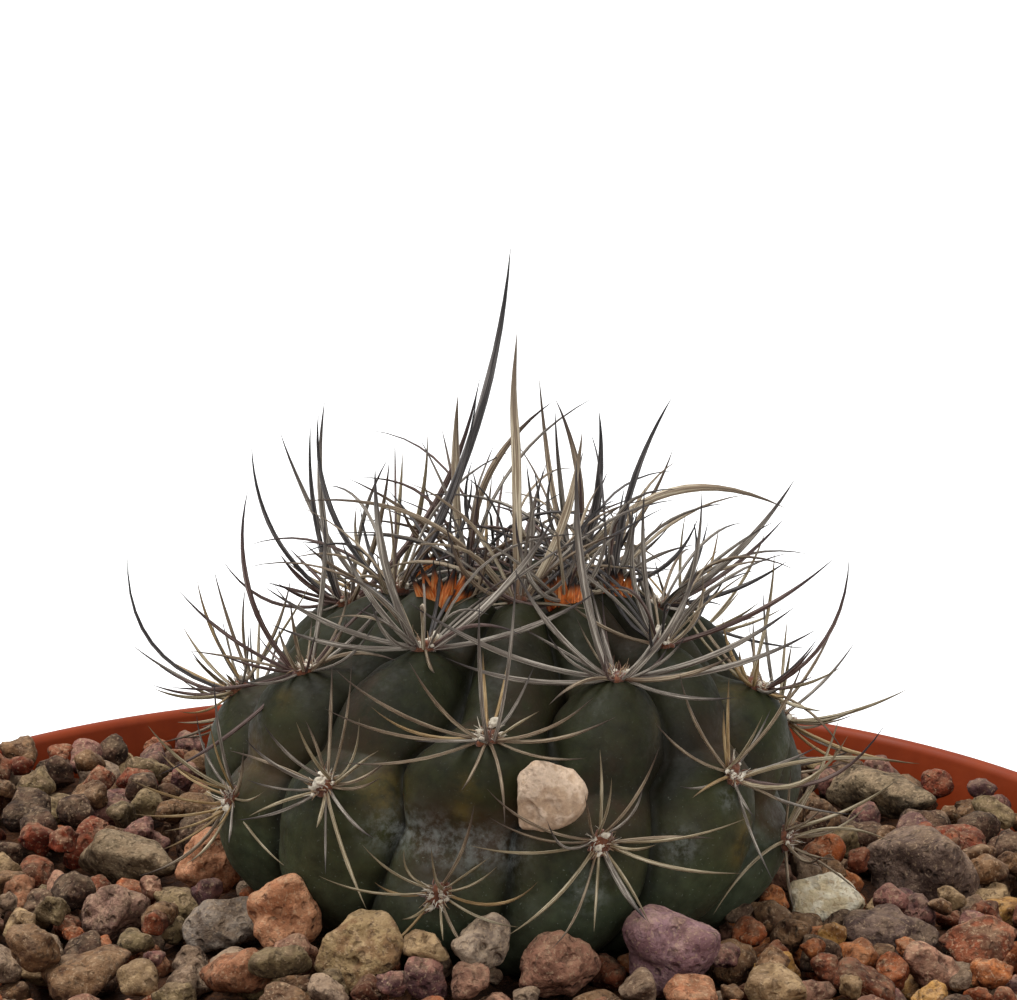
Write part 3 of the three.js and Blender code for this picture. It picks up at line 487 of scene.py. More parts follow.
# How stones are laid: how high their tops may stand, how far they sink in, and the widths in mm
# with the share of each
STONE_TOPS = 3.9
STONE_SINK = 0.14
STONE_WIDTHS = (1.6, 2.2, 2.7, 3.3)
STONE_SHARES = (0.15, 0.3, 0.35, 0.2)
STONE_SHRINKS = (1, 0.8, 0.6)
STONE_TRIES = 5
STONE_SHIFT = 0.8
HOLLOW_JITTER = 1.5
PASSED_OVER = 2.5
OPEN_ROOM = 1.2
WALL_ROOM = 0.97
STEM_ROOM = 0.2
MOST_OVERLAP = 0.4
FAR_OFF = 999.0

# First layer under the stones at the front
UNDER_STONES = 90
UNDER_TOPS = 1.6
FRONT_HALF_WIDTH = 45
FRONT_REACH = 42

# Room kept free in front of the stones that the photo shows
SIGHT_SLOPE = 0.3
CLEAR_REACH = 12
CLEAR_FROM = 0.45

# Part of the bed that the photo shows, and how many stones go to each piece
PHOTO_HALF_WIDTH = 46
PHOTO_SPREAD = 0.1
PHOTO_REACH = 40
OUT_OF_PHOTO = 500
NEAR_STONES = 150
SIDE_STONES = 110
STONE_COUNT = 760

# Stones with a place of their own: centre, half sizes and turn, then colours as for the kinds
# below, and dents as a direction, a width in degrees and a depth in mm
PLACED_STONES = {
    "stone_mauve": ([14.1, -23.7, 94], [3.7, 3, 3.4], 10, ("a27d80", "866164", "64484b"),
                    [((0.1, -1, 0.5), 26, 0.35), ((-0.5, -1, -0.4), 24, 0.3)]),
    "stone_red_pink": ([5.3, -26, 93.4], [3.3, 2.4, 2.6], -5, ("a3735c", "7d5342", "57392d"),
                       [((0.25, -0.7, 1), 24, 0.5)]),
    "stone_pitted": ([-0.7, -25.6, 95], [2.3, 2.1, 2.3], 20, ("b19c86", "7f6e60", "554940"),
                     [((0.1, -1, 0.1), 24, 0.9), ((0.9, -0.7, -0.7), 22, 0.6)]),
    "stone_olive": ([-9.8, -24.6, 94.1], [3.3, 2.7, 2.9], 0, ("a88c62", "82613f", "4c3527"),
                    [((-0.1, -1, 0.1), 13, 0.9), ((0.5, -0.8, -0.2), 22, 0.5),
                     ((-0.6, -0.6, 0.8), 24, 0.5), ((0.4, -0.5, 1), 20, 0.4)]),
    "stone_orange": ([-16.1, -18.8, 95], [2.7, 2.5, 3.2], 0, ("c48a64", "a36845", "754a35"),
                     [((-1, -0.6, -0.1), 26, 0.7), ((1, -0.5, -0.3), 20, 0.3)]),
    "stone_salmon": ([-23.5, 0.6, 92.9], [2.7, 2.6, 2.9], 30, ("c88b66", "a66a47", "7a4e36"),
                     [((-0.8, -0.5, 0.3), 24, 0.35), ((0.3, -1, -0.6), 22, 0.3)]),
    "stone_blue_grey": ([-20.9, -11, 91.3], [3.6, 2.7, 2.4], 25, ("8f8275", "6f5e50", "493b32"),
                        [((0.4, -1, 0.2), 24, 0.3)]),
    "stone_dusty": ([-30.8, -5.2, 90.2], [2.8, 2.6, 2.6], 0, ("9d7867", "715547", "4e3b32"),
                    [((-0.2, -0.8, 0.7), 26, 0.3), ((0.6, -1, 0), 22, 0.25)]),
    "stone_slate": ([32.7, -8, 90.8], [3.7, 2.6, 1.7], -10, ("6d584f", "4f3d37", "352925"), []),
    "stone_dark": ([37, 10.8, 89.8], [4.7, 3.6, 4], -35, ("7a6457", "5b473d", "2f2420"), []),
    "stone_long_green": ([35.6, 30.6, 91], [6.2, 2.3, 2.2], -44, ("8a775c", "574a38", "2e261e"),
                         []),
    "stone_long_blue": ([-31, 6.9, 90.8], [6.3, 2.2, 2.3], -49, ("857258", "604d35", "3d3023"),
                        [((0.3, -1, 0.4), 26, 0.5)]),
    "stone_lodged": ([4.7, -23.7, 106.5], [2.8, 1.6, 2.9], 8, ("d9bfa6", "b89b80", "8a6a50"),
                     [((-1, -0.8, -1), 40, 0.9), ((0.2, -1, -0.25), 20, 0.35)]),
}

# Kinds of gravel: base colour, the colour of its patches and that of its specks
STONE_KINDS = {
    "grey": ("927b66", "685140", "3a2b22"),
    "beige": ("b0926a", "7f6444", "523e2c"),
    "green grey": ("877350", "5d4b31", "36291a"),
    "salmon": ("b97b57", "885537", "5d3825"),
    "orange": ("c37540", "8c4b24", "62341a"),
    "deep orange": ("a05227", "733414", "4c230f"),
    "pink": ("a97a62", "785140", "4f342a"),
    "red brown": ("86452a", "562b18", "341a10"),
    "brown": ("7f5c3d", "553824", "322318"),
    "dark": ("573b2c", "362318", "1e130f"),
    "mauve": ("8a5c52", "59393a", "362322"),
    "ochre": ("b58545", "80552a", "573618"),
    "cream": ("fff4d8", "ecd9b0", "b0946c"),
    "deep red": ("80341a", "591c0c", "3a1208"),
}

# Kinds drawn from at the left, right and back, and where the left gives way to the right
KIND_CHANGE = (-14, 20)
BACK_FROM = 10
LEFT_KINDS = ["grey", "green grey", "beige", "brown", "grey", "mauve", "pink", "salmon",
              "red brown", "dark", "deep orange", "brown"]
RIGHT_KINDS = ["red brown", "brown", "red brown", "dark", "brown", "mauve", "pink", "orange",
               "red brown", "grey", "ochre", "beige", "deep orange"]
# Darker kinds at the back: partly stones that are dark, partly painted shade behind the plant
SHADED_BACK_KINDS = ["dark", "red brown", "brown", "deep red", "dark", "mauve", "brown", "green grey"]

# Gravel that the photo shows: place right and back, half sizes across and up, and kind. The
# half size from front to back is a share of the one across.
SEEN_DEPTH_SHARE = 0.9
SEEN_STONES = [
    (-34.3, -15.1, 2.1, 1.3, "red brown"), (-31.3, -22.1, 3.5, 1.6, "brown"),
    (-24.5, -26.7, 2.3, 1.6, "deep orange"), (-19.4, -26.1, 2.8, 1.6, "salmon"),
    (-15.8, -27.7, 2.5, 1.2, "green grey"), (-4.6, -27.4, 1.6, 1.9, "mauve"),
    (0.5, -30.6, 1.9, 1.5, "pink"), (-25, -4.2, 2.4, 1.6, "green grey"),
    (19.5, -18.2, 2.0, 1.9, "brown"), (22.9, -20.4, 1.6, 2.2, "ochre"),
    (26.5, -15.9, 1.7, 1.5, "dark"), (35.2, -17.2, 2.6, 1.7, "pink"),
    (40.1, -16.9, 1.7, 1.3, "orange"), (39.7, -10.8, 3.0, 1.5, "red brown"),
    (28, -0.8, 2.9, 2.3, "cream"), (45.8, 23.9, 1.7, 1.7, "deep red"),
    (-33.5, 42.5, 2.7, 1.5, "beige"), (-36.1, 35.2, 2.3, 1.8, "grey"),
    (-42.9, 32.2, 2.3, 1.8, "grey"), (-38.9, 24.5, 2.2, 1.5, "green grey"),
    (-37.8, 18.8, 1.8, 1.2, "deep orange"), (-40.7, 13.4, 2.6, 1.5, "dark"),
    (-29.5, 37, 2.2, 1.5, "red brown"), (-27, 44.5, 2.6, 1.8, "dark"),
    (45.5, 28, 1.9, 1.5, "grey"), (-35.5, -22, 2.4, 1.8, "brown"),
    (15.5, -28.7, 2.2, 1.4, "salmon"), (8.6, -30, 2.3, 1.4, "brown"),
    (22, -26.5, 2.3, 1.8, "beige"),
]

# Lamps: place in metres, width and power
LAMPS = {
    "sky panel": ((-0.35, 0.1, 1.1), 0.6, 12.0),
    "front fill": ((0.35, -0.9, 0.75), 0.5, 3.0),
}
SKY_STRENGTH = 0.65

# Floor: half its width in metres, and its two tones
FLOOR_REACH = 12.0
FLOOR_TONES = [(0.92, 0.92, 0.92, 1.0), (0.94, 0.94, 0.94, 1.0)]


# Small tools

def smooth(share):
    s = np.clip(share, 0, 1)
    return s * s * (3 - 2 * s)


def mix(a, b, share):
    return a + (b - a) * share


def draws_from(seed):
    """Repeatable draws between 0 and 1, the same ones that place the solid model's spines."""
    state = seed
    while True:
        state = (state * 1664525 + 1013904223) % 2**32
        yield state / 2**32


def unit(vectors):
    return vectors / np.maximum(np.linalg.norm(vectors, axis=-1, keepdims=True), 1e-9)


def lattice_noise(points, seed=0):
    """Smooth noise between -1 and 1 from random values at the corners of a unit lattice."""
    cell = np.floor(points).astype(np.int64)
    part = smooth(points - cell)
    total = np.zeros(points.shape[:-1])
    for corner in np.ndindex(2, 2, 2):
        x, y, z = (cell[..., axis] + corner[axis] for axis in range(3))
        mixed = (x * 73856093 ^ y * 19349663 ^ z * 83492791 ^ (seed + 1) * 6542989) & 0xFFFFFFFF
        mixed = ((mixed ^ (mixed >> 15)) * 739982445) & 0xFFFFFFFF
        mixed = ((mixed ^ (mixed >> 12)) * 695872825) & 0xFFFFFFFF
        value = ((mixed >> 8) & 0xFFFF) / 32767.5 - 1
        weights = np.where(np.array(corner) == 1, part, 1 - part)
        total += value * weights.prod(axis=-1)
    return total


def layered_noise(points, layers, seed=0):
    """Sum of noise at several scales: layers holds (size of a feature, height) pairs."""
    total = np.zeros(points.shape[:-1])
    for index, (size, height) in enumerate(layers):
        total += height * lattice_noise(points / size + LAYER_STEP * index, seed + index)
    return total


def add_piece(name, points, faces, materials, slots=None, corners=None):
    """Smooth piece that rides on the part, from points in mm. corners holds each face's UV."""
    mesh = bpy.data.meshes.new(name)
    mesh.from_pydata((points * MM).tolist(), [], faces)
    for material in materials:
        mesh.materials.append(material)
    if slots is not None:
        mesh.polygons.foreach_set("material_index", np.array(slots, dtype=np.int32))
    mesh.shade_smooth()
    if corners is not None:
        layer = mesh.uv_layers.new(name="UVMap")
        layer.data.foreach_set("uv", np.concatenate(corners).astype(np.float32).ravel())
    mesh.update()
    piece = bpy.data.objects.new(name, mesh)
    bpy.context.scene.collection.objects.link(piece)
    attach(piece, "root")
    return piece


def mark(piece, name, values):
    """Value at each point of a piece that its material reads."""
    attribute = piece.data.attributes.new(name, "FLOAT", "POINT")
    attribute.data.foreach_set("value", np.asarray(values, dtype=np.float32))


def ring_angles(count):
    return np.arange(count) * 2 * math.pi / count


def tube_faces(rings, sides):
    """Faces of a tube with closed ends, and their UV: across it in U, along it in V."""
    faces, corners = [], []
    last = rings * sides + 1
    shares = np.linspace(0, 1, rings)
    for j in range(sides):
        k = (j + 1) % sides
        u, v = j / sides, (j + 1) / sides
        faces.append([0, 1 + k, 1 + j])
        corners.append([[u, 0], [v, 0], [u, 0]])
        for row, (near, far) in enumerate(zip(shares, shares[1:])):
            start = 1 + row * sides
            faces.append([start + j, start + k, start + sides + k, start + sides + j])
            corners.append([[u, near], [v, near], [v, far], [u, far]])
        faces.append([last - sides + j, last - sides + k, last])
        corners.append([[u, 1], [v, 1], [u, 1]])
    return faces, corners


def band_faces(rows, columns):
    """Faces between rows of points that each run round a ring."""
    i, j = np.meshgrid(np.arange(rows - 1), np.arange(columns), indexing="ij")
    k = (j + 1) % columns
    below = i * columns + columns
    above = i * columns
    return np.stack([above + j, below + j, below + k, above + k], axis=-1).reshape(-1, 4).tolist()


# Node tools

def colour(text):
    """Colour from its six-figure screen value, in linear light."""
    channels = [int(text[i:i + 2], 16) / 255 for i in (0, 2, 4)]
    return tuple(
        c / 12.92 if c <= 0.04045 else ((c + 0.055) / 1.055) ** 2.4 for c in channels
    ) + (1.0,)


def feed(tree, socket, value):
    if isinstance(value, bpy.types.NodeSocket):
        tree.links.new(value, socket)
    else:
        socket.default_value = value


def add_node(tree, kind, inputs=None, **settings):
    node = tree.nodes.new(kind)
    for key, value in settings.items():
        setattr(node, key, value)
    for key, value in (inputs or {}).items():
        feed(tree, node.inputs[key], value)
    return node


def calculate(tree, operation, *values):
    node = add_node(tree, "ShaderNodeMath", operation=operation)
    for socket, value in zip(node.inputs, values):
        feed(tree, socket, value)
    return node.outputs[0]


def times(tree, first, second):
    return calculate(tree, "MULTIPLY", first, second)


def mix_colours(tree, share, first, second, blend_type="MIX"):
    node = add_node(tree, "ShaderNodeMix", data_type="RGBA", blend_type=blend_type)
    for index, value in ((0, share), (6, first), (7, second)):
        feed(tree, node.inputs[index], value)
    return node.outputs[2]


def two_tones(tree, share, first, second):
    return mix_colours(tree, share, colour(first), colour(second))


def tint(tree, tone, share, text, amount=1):
    """Tone with a colour laid over it where the share is high."""
    share = share if amount == 1 else times(tree, share, amount)
    return mix_colours(tree, share, tone, colour(text))


def remap(tree, value, low, high, to_low=0.0, to_high=1.0):
    node = add_node(tree, "ShaderNodeMapRange", interpolation_type="SMOOTHSTEP")
    for index, each in enumerate((value, low, high, to_low, to_high)):
        feed(tree, node.inputs[index], each)
    return node.outputs[0]


def noise_value(tree, place, scale, detail=3.0, roughness=0.6, distortion=0.0):
    inputs = {"Vector": place, "Scale": scale, "Detail": detail, "Roughness": roughness,
              "Distortion": distortion}
    return add_node(tree, "ShaderNodeTexNoise", inputs).outputs["Fac"]


def object_place(tree):
    return add_node(tree, "ShaderNodeTexCoord").outputs["Object"]


def attribute_value(tree, name):
    return add_node(tree, "ShaderNodeAttribute", attribute_name=name).outputs["Fac"]


def start_group(name, inputs, outputs):
    """Node group with named sockets, and its input and output nodes."""
    tree = bpy.data.node_groups.new(name, "ShaderNodeTree")
    for label, kind, value in inputs:
        socket = tree.interface.new_socket(label, in_out="INPUT", socket_type=kind)
        socket.default_value = value
    for label, kind in outputs:
        tree.interface.new_socket(label, in_out="OUTPUT", socket_type=kind)
    return tree, tree.nodes.new("NodeGroupInput").outputs, tree.nodes.new("NodeGroupOutput").inputs


def place_group(tree, group, inputs):
    node = add_node(tree, "ShaderNodeGroup", node_tree=group)
    for label, value in inputs.items():
        feed(tree, node.inputs[label], value)
    return node.outputs


def start_material(name, shader_values):
    """Material with a Principled shader, whose plain values are set on its own sockets."""
    material = bpy.data.materials.new(name)
    material.use_nodes = True
    tree = material.node_tree
    tree.nodes.clear()
    shader = add_node(tree, "ShaderNodeBsdfPrincipled", shader_values)
    output = tree.nodes.new("ShaderNodeOutputMaterial")
    tree.links.new(shader.outputs["BSDF"], output.inputs["Surface"])
    return material, tree, shader


def finish_material(tree, shader, tone, roughness, height, strength, depth):
    """Colour, roughness, and a bump of a height between 0 and 1 with its depth in mm."""
    inputs = {"Height": height, "Strength": strength, "Distance": depth * MM}
    bump = add_node(tree, "ShaderNodeBump", inputs)
    feed(tree, shader.inputs["Base Color"], tone)
    feed(tree, shader.inputs["Roughness"], roughness)
    feed(tree, shader.inputs["Normal"], bump.outputs["Normal"])


# Shared effects

FLOAT = "NodeSocketFloat"


def make_mottle():
    """Soft two-scale variation of colour over a surface."""
    tree, given, result = start_group(
        "mottle", [("Scale", FLOAT, 400.0), ("Fineness", FLOAT, 5.0)], [("Value", FLOAT)])
    place = object_place(tree)
    broad = noise_value(tree, place, given["Scale"], 3.0)
    fine = noise_value(tree, place, times(tree, given["Scale"], given["Fineness"]), 4.0)
    both = calculate(tree, "ADD", times(tree, broad, 0.6), times(tree, fine, 0.4))
    feed(tree, result["Value"], remap(tree, both, 0.32, 0.68))
    return tree


def make_pits():
    """Round pits or specks scattered over a surface, as a mask that is 1 inside them."""
    tree, given, result = start_group(
        "pits", [("Scale", FLOAT, 900.0), ("Amount", FLOAT, 0.4), ("Softness", FLOAT, 0.15)],
        [("Mask", FLOAT)])
    place = object_place(tree)
    wobble = add_node(tree, "ShaderNodeTexNoise", {"Vector": place, "Scale": given["Scale"]})
    shifted = add_node(
        tree, "ShaderNodeVectorMath",
        {0: wobble.outputs["Color"], 1: (0.0008, 0.0008, 0.0008), 2: place},
        operation="MULTIPLY_ADD")
    cells = add_node(tree, "ShaderNodeTexVoronoi",
                     {"Vector": shifted.outputs[0], "Scale": given["Scale"]})
    size = times(tree, cells.outputs["Color"], given["Amount"])
    edge = calculate(tree, "ADD", size, given["Softness"])
    feed(tree, result["Mask"], remap(tree, cells.outputs["Distance"], size, edge, 1.0, 0.0))
    return tree


def make_dust():
    """Pale dust that settles on faces that look up, as a mask."""
    tree, given, result = start_group(
        "settled dust", [("Amount", FLOAT, 0.5), ("Scale", FLOAT, 300.0)], [("Mask", FLOAT)])
    normal = add_node(tree, "ShaderNodeNewGeometry").outputs["Normal"]
    upward = add_node(tree, "ShaderNodeSeparateXYZ", {"Vector": normal}).outputs["Z"]
    patchy = noise_value(tree, object_place(tree), given["Scale"], 6.0, 0.7)
    settled = times(tree, remap(tree, upward, -0.1, 0.9), remap(tree, patchy, 0.35, 0.7))
    feed(tree, result["Mask"], times(tree, settled, given["Amount"]))
    return tree


def make_fibres():
    """Fine lines along a spine, from its UV: across it in U, along it in V."""
    tree, given, result = start_group(
        "fibres", [("Lines", FLOAT, 3.0)], [("Value", FLOAT), ("Along", FLOAT)])
    uv = add_node(tree, "ShaderNodeUVMap", uv_map="UVMap").outputs["UV"]
    parts = add_node(tree, "ShaderNodeSeparateXYZ", {"Vector": uv})
    angle = times(tree, parts.outputs["X"], 2 * math.pi)
    spine = times(tree, attribute_value(tree, "spine_number"), FIBRE_STEP)
    place = add_node(tree, "ShaderNodeCombineXYZ", {
        "X": times(tree, calculate(tree, "COSINE", angle), given["Lines"]),
        "Y": times(tree, calculate(tree, "SINE", angle), given["Lines"]),
        "Z": calculate(tree, "ADD", times(tree, parts.outputs["Y"], 3.0), spine)})
    feed(tree, result["Value"], noise_value(tree, place.outputs[0], 1.0, 5.0, 0.65))
    feed(tree, result["Along"], parts.outputs["Y"])
    return tree


MOTTLE = make_mottle()
PITS = make_pits()
DUST = make_dust()
FIBRES = make_fibres()


def mottle_value(tree, scale, fineness):
    return place_group(tree, MOTTLE, {"Scale": scale, "Fineness": fineness})["Value"]


def pit_mask(tree, scale, amount, softness=0.15):
    inputs = {"Scale": scale, "Amount": amount, "Softness": softness}
    return place_group(tree, PITS, inputs)["Mask"]


def dust_mask(tree, amount, scale):
    return place_group(tree, DUST, {"Amount": amount, "Scale": scale})["Mask"]


# Materials

def pot_material():
    material, tree, shader = start_material(
        "terracotta plastic", {"IOR": 1.47, "Specular IOR Level": 0.22})
    mottle = mottle_value(tree, 60.0, 9.0)
    tone = two_tones(tree, mottle, "76290a", "85320d")
    tone = tint(tree, tone, dust_mask(tree, 0.14, 160.0), "8a4a25")
    roughness = remap(tree, mottle, 0.0, 1.0, 0.48, 0.64)
    grain = noise_value(tree, object_place(tree), 2600.0, 2.0)
    finish_material(tree, shader, tone, roughness, grain, 0.25, 0.05)
    return material


def soil_material():
    material, tree, shader = start_material("damp soil", {"Specular IOR Level": 0.2})
    mottle = mottle_value(tree, 350.0, 6.0)
    tone = two_tones(tree, mottle, "23130a", "59371f")
    roughness = remap(tree, mottle, 0.0, 1.0, 0.85, 1.0)
    finish_material(tree, shader, tone, roughness, mottle, 1.0, 0.8)
    return material


def stone_material(name, base, patch, speck, pitted=1.0):
    """Rough porous stone: a base colour with broad patches, specks and small pits."""
    material, tree, shader = start_material(name, {"Specular IOR Level": 0.25})
    place = object_place(tree)
    broad = mottle_value(tree, 230.0, 4.0)
    fine = mottle_value(tree, 1300.0, 3.0)
    holes = times(tree, pit_mask(tree, 950.0, 0.3, 0.25), pitted)
    grit = remap(tree, noise_value(tree, place, 2900.0, 3.0, 0.6), 0.56, 0.66)
    grains = noise_value(tree, place, 3800.0, 4.0, 0.7)
    shade = attribute_value(tree, "shade")
    grey = add_node(tree, "ShaderNodeCombineColor", {"Red": shade, "Green": shade, "Blue": shade})
    tone = two_tones(tree, remap(tree, broad, 0.25, 0.75), base, patch)
    tone = tint(tree, tone, fine, "33221a", 0.3)
    tone = tint(tree, tone, pit_mask(tree, 2000.0, 0.4), speck, 0.6 * pitted)
    # Painted shade: the small pits darkened, on top of their bump
    tone = tint(tree, tone, holes, "2a1c15", 0.25)
    tone = tint(tree, tone, grit, "c9ac8a", 0.35)
    tone = tint(tree, tone, dust_mask(tree, 0.35, 700.0), "bb9d7c")
    tone = mix_colours(tree, 1.0, tone, grey.outputs[0], "MULTIPLY")
    roughness = remap(tree, fine, 0.0, 1.0, 0.78, 0.98)
    rough = calculate(tree, "ADD", times(tree, fine, 0.5), times(tree, grains, 0.5))
    height = calculate(tree, "SUBTRACT", rough, holes)
    finish_material(tree, shader, tone, roughness, height, mix(0.35, 0.9, pitted), 0.3)
    return material


def skin_material():
    """Waxy dark olive skin: brown and ochre patches, painted shade in the furrows, the notches and
    towards the crown, pale bloom low down.
    """
    material, tree, shader = start_material(
        "cactus skin", {"IOR": 1.42, "Specular IOR Level": 0.2, "Subsurface Weight": 0.03,
                        "Subsurface Scale": 0.002})
    place = object_place(tree)
    rise, crest, notch, brown, ochre, shaded, bloom = (attribute_value(tree, name) for name in (
        "rise", "crest", "notch", "brown", "ochre", "shaded", "bloom"))
    mottle = mottle_value(tree, 130.0, 6.0)
    fine = noise_value(tree, place, 2200.0, 4.0, 0.6)
    broken = noise_value(tree, place, 420.0, 5.0, 0.65)
    clouds = remap(tree, noise_value(tree, place, 110.0, 5.0, 0.65), 0.38, 0.6)
    streaks = noise_value(tree, place, 1100.0, 5.0, 0.7)
    green = two_tones(tree, mottle, "171b0c", "373b1e")
    blue_green = two_tones(tree, mottle, "262e23", "525d4c")
    low = remap(tree, rise, 0.1, 0.55, 1.0, 0.0)
    tone = mix_colours(tree, times(tree, low, 0.75), green, blue_green)
    # Painted shade: brown in the notch over each chin, laid on together with the skin's real brown
    # patches
    notch_shade = times(tree, clouds, remap(tree, notch, 0.1, 0.8, 0.25, 1.0))
    brown = times(tree, brown, remap(tree, broken, 0.3, 0.6))
    tone = tint(tree, tone, calculate(tree, "MAXIMUM", notch_shade, brown), "3f2c1d", 0.75)
    ochre = times(tree, ochre, remap(tree, broken, 0.34, 0.6))
    tone = tint(tree, tone, ochre, "6e5a22", 0.5)
    # Painted shade: the furrows between the ribs, and the patches marked shaded, darkened nearly to
    # black
    crease_shade = remap(tree, crest, 0.05, 0.6, 0.8, 0.0)
    tone = tint(tree, tone, calculate(tree, "MAXIMUM", crease_shade, times(tree, shaded, 0.75)),
                "0b0c05")
    # Painted shade: the skin darkened towards the crown, where the spines shade it
    tone = tint(tree, tone, remap(tree, rise, 0.4, 0.9, 0.0, 0.6), "141207")
    specks = times(tree, pit_mask(tree, 2400.0, 0.12, 0.1), remap(tree, rise, 0.2, 0.8, 0.4, 0.07))
    tone = tint(tree, tone, specks, "868c80")
    dusty = times(tree, dust_mask(tree, 1.0, 420.0), remap(tree, rise, 0.15, 0.6, 0.45, 0.01))
    bloom = times(tree, times(tree, bloom, remap(tree, streaks, 0.36, 0.68)), 0.3)
    tone = tint(tree, tone, calculate(tree, "MAXIMUM", dusty, bloom), "a3a8a4")
    roughness = remap(tree, fine, 0.3, 0.7, 0.5, 0.68)
    finish_material(tree, shader, tone, roughness, fine, 0.35, 0.12)
    return material


def spine_material(name, root, middle, tip, streak, roughness=0.5, tip_from=0.62):
    """Horny spine: colours from root to tip with fine streaks along it."""
    material, tree, shader = start_material(name, {"Specular IOR Level": 0.35})
    fibres = place_group(tree, FIBRES, {"Lines": 2.4})
    along, value = fibres["Along"], fibres["Value"]
    uneven = times(tree, calculate(tree, "SUBTRACT", value, 0.5), 0.35)
    wander = calculate(tree, "ADD", along, uneven)
    tone = two_tones(tree, remap(tree, along, 0.03, 0.22), root, middle)
    tone = tint(tree, tone, remap(tree, value, 0.49, 0.59), streak, 0.8)
    tone = tint(tree, tone, remap(tree, wander, tip_from, tip_from + 0.33), tip)
    tone = tint(tree, tone, remap(tree, value, 0.46, 0.36), "2b201c", 0.6)
    uneven_gloss = remap(tree, value, 0.3, 0.7, roughness - 0.08, roughness + 0.12)
    finish_material(tree, shader, tone, uneven_gloss, value, 0.7, 0.12)
    return material


def wool_material(name, first, second):
    material, tree, shader = start_material(
        name, {"Specular IOR Level": 0.15, "Sheen Weight": 0.35, "Sheen Roughness": 0.5})
    mottle = mottle_value(tree, 1500.0, 3.0)
    roughness = remap(tree, mottle, 0.0, 1.0, 0.85, 1.0)
    finish_material(tree, shader, two_tones(tree, mottle, first, second), roughness, mottle,
                    0.6, 0.1)
    return material


# Pot

BAND_FOOT = POT_HEIGHT - RIM_BAND
BODY_TOP_RADIUS = mix(FOOT_RADIUS, RIM_RADIUS, BAND_FOOT / POT_HEIGHT) - RIM_STEP
POT_FLOOR = FOOT_RECESS + POT_WALL


def body_radius(z):
    return mix(FOOT_RADIUS, BODY_TOP_RADIUS, z / BAND_FOOT)


def band_radius(z):
    return mix(FOOT_RADIUS, RIM_RADIUS, z / POT_HEIGHT)


def inside_radius(z):
    return np.where(z > BAND_FOOT + POT_EDGE, band_radius(z), body_radius(z)) - POT_WALL


def round_corners(profile, radius, steps):
    """Profile with its inner corners rounded by short arcs."""
    rounded = [profile[0]]
    for before, corner, after in zip(profile, profile[1:], profile[2:]):
        before, corner, after = (np.array(p, float) for p in (before, corner, after))
        back = np.linalg.norm(before - corner)
        ahead = np.linalg.norm(after - corner)
        reach = min(radius, back * ROUNDED_SHARE, ahead * ROUNDED_SHARE)
        start = corner + (before - corner) / back * reach
        end = corner + (after - corner) / ahead * reach
        for share in np.linspace(0, 1, steps + 1):
            rounded.append(mix(mix(start, corner, share), mix(corner, end, share), share))
    return [*rounded, profile[-1]]


def turned_mesh(profile, sides):
    """Points and faces turned from [radius, height] steps that start and end on the axis."""
    angles = ring_angles(sides)
    ring = np.stack([np.cos(angles), np.sin(angles)], axis=1)
    points = [[0, 0, profile[0][1]]]
    for radius, z in profile[1:-1]:
        points.extend(np.column_stack([ring * radius, np.full(sides, z)]))
    points.append([0, 0, profile[-1][1]])
    return np.array(points), tube_faces(len(profile) - 2, sides)[0]


def make_pot():
    profile = [
        [0, FOOT_RECESS],
        [FOOT_RADIUS - FOOT_WIDTH, FOOT_RECESS],
        [FOOT_RADIUS - FOOT_WIDTH + POT_EDGE, 0],
        [FOOT_RADIUS - POT_EDGE, 0],
        [FOOT_RADIUS, POT_EDGE],
        [BODY_TOP_RADIUS, BAND_FOOT],
        [BODY_TOP_RADIUS + RIM_STEP, BAND_FOOT + POT_EDGE],
        [RIM_RADIUS, POT_HEIGHT - POT_EDGE / 2],
        [RIM_RADIUS - POT_EDGE / 2, POT_HEIGHT],
        [RIM_RADIUS - POT_WALL + POT_EDGE / 2, POT_HEIGHT],
        [band_radius(POT_HEIGHT) - POT_WALL, POT_HEIGHT - POT_EDGE / 2],
        [band_radius(BAND_FOOT + 2 * POT_EDGE) - POT_WALL, BAND_FOOT + 2 * POT_EDGE],
        [body_radius(BAND_FOOT) - POT_WALL, BAND_FOOT],
        [body_radius(POT_FLOOR) - POT_WALL, POT_FLOOR],
        [0, POT_FLOOR],
    ]
    rounded = round_corners(profile, POT_ROUNDING, POT_ROUNDING_STEPS)
    points, faces = turned_mesh(rounded, POT_SIDES)
    pot = add_piece("pot_wall", points, faces, [pot_material()])
    drill_drains(pot)
    pot.data.shade_smooth()
    pot.data.set_sharp_from_angle(angle=math.radians(POT_SHARP_ANGLE))
    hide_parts("pot")


def drill_drains(pot):
    """Round drain holes through the pot's floor."""
    drills = bmesh.new()
    for angle in ring_angles(DRAIN_COUNT):
        at = Vector((DRAIN_CIRCLE * math.cos(angle), DRAIN_CIRCLE * math.sin(angle), POT_FLOOR / 2))
        bmesh.ops.create_cone(
            drills, cap_ends=True, segments=DRAIN_SIDES, radius1=DRAIN_RADIUS * MM,
            radius2=DRAIN_RADIUS * MM, depth=3 * POT_FLOOR * MM,
            matrix=Matrix.Translation(at * MM))
    mesh = bpy.data.meshes.new("drills")
    drills.to_mesh(mesh)
    drills.free()
    tool = bpy.data.objects.new("drills", mesh)
    bpy.context.scene.collection.objects.link(tool)
    cut = pot.modifiers.new("drains", "BOOLEAN")
    cut.operation = "DIFFERENCE"
    cut.object = tool
    cut.solver = "EXACT"
    bpy.context.view_layer.objects.active = pot
    bpy.ops.object.modifier_apply(modifier=cut.name)
    bpy.data.objects.remove(tool)


# Stem

def ridge_azimuth(rib, theta):
    azimuth = FIRST_RIB + RIB_STEP * rib
    lean = LEAN + LEAN_SWING * math.cos(math.radians(azimuth - LEAN_TOWARDS))
    return azimuth + lean * (LEAN_ZERO - theta)


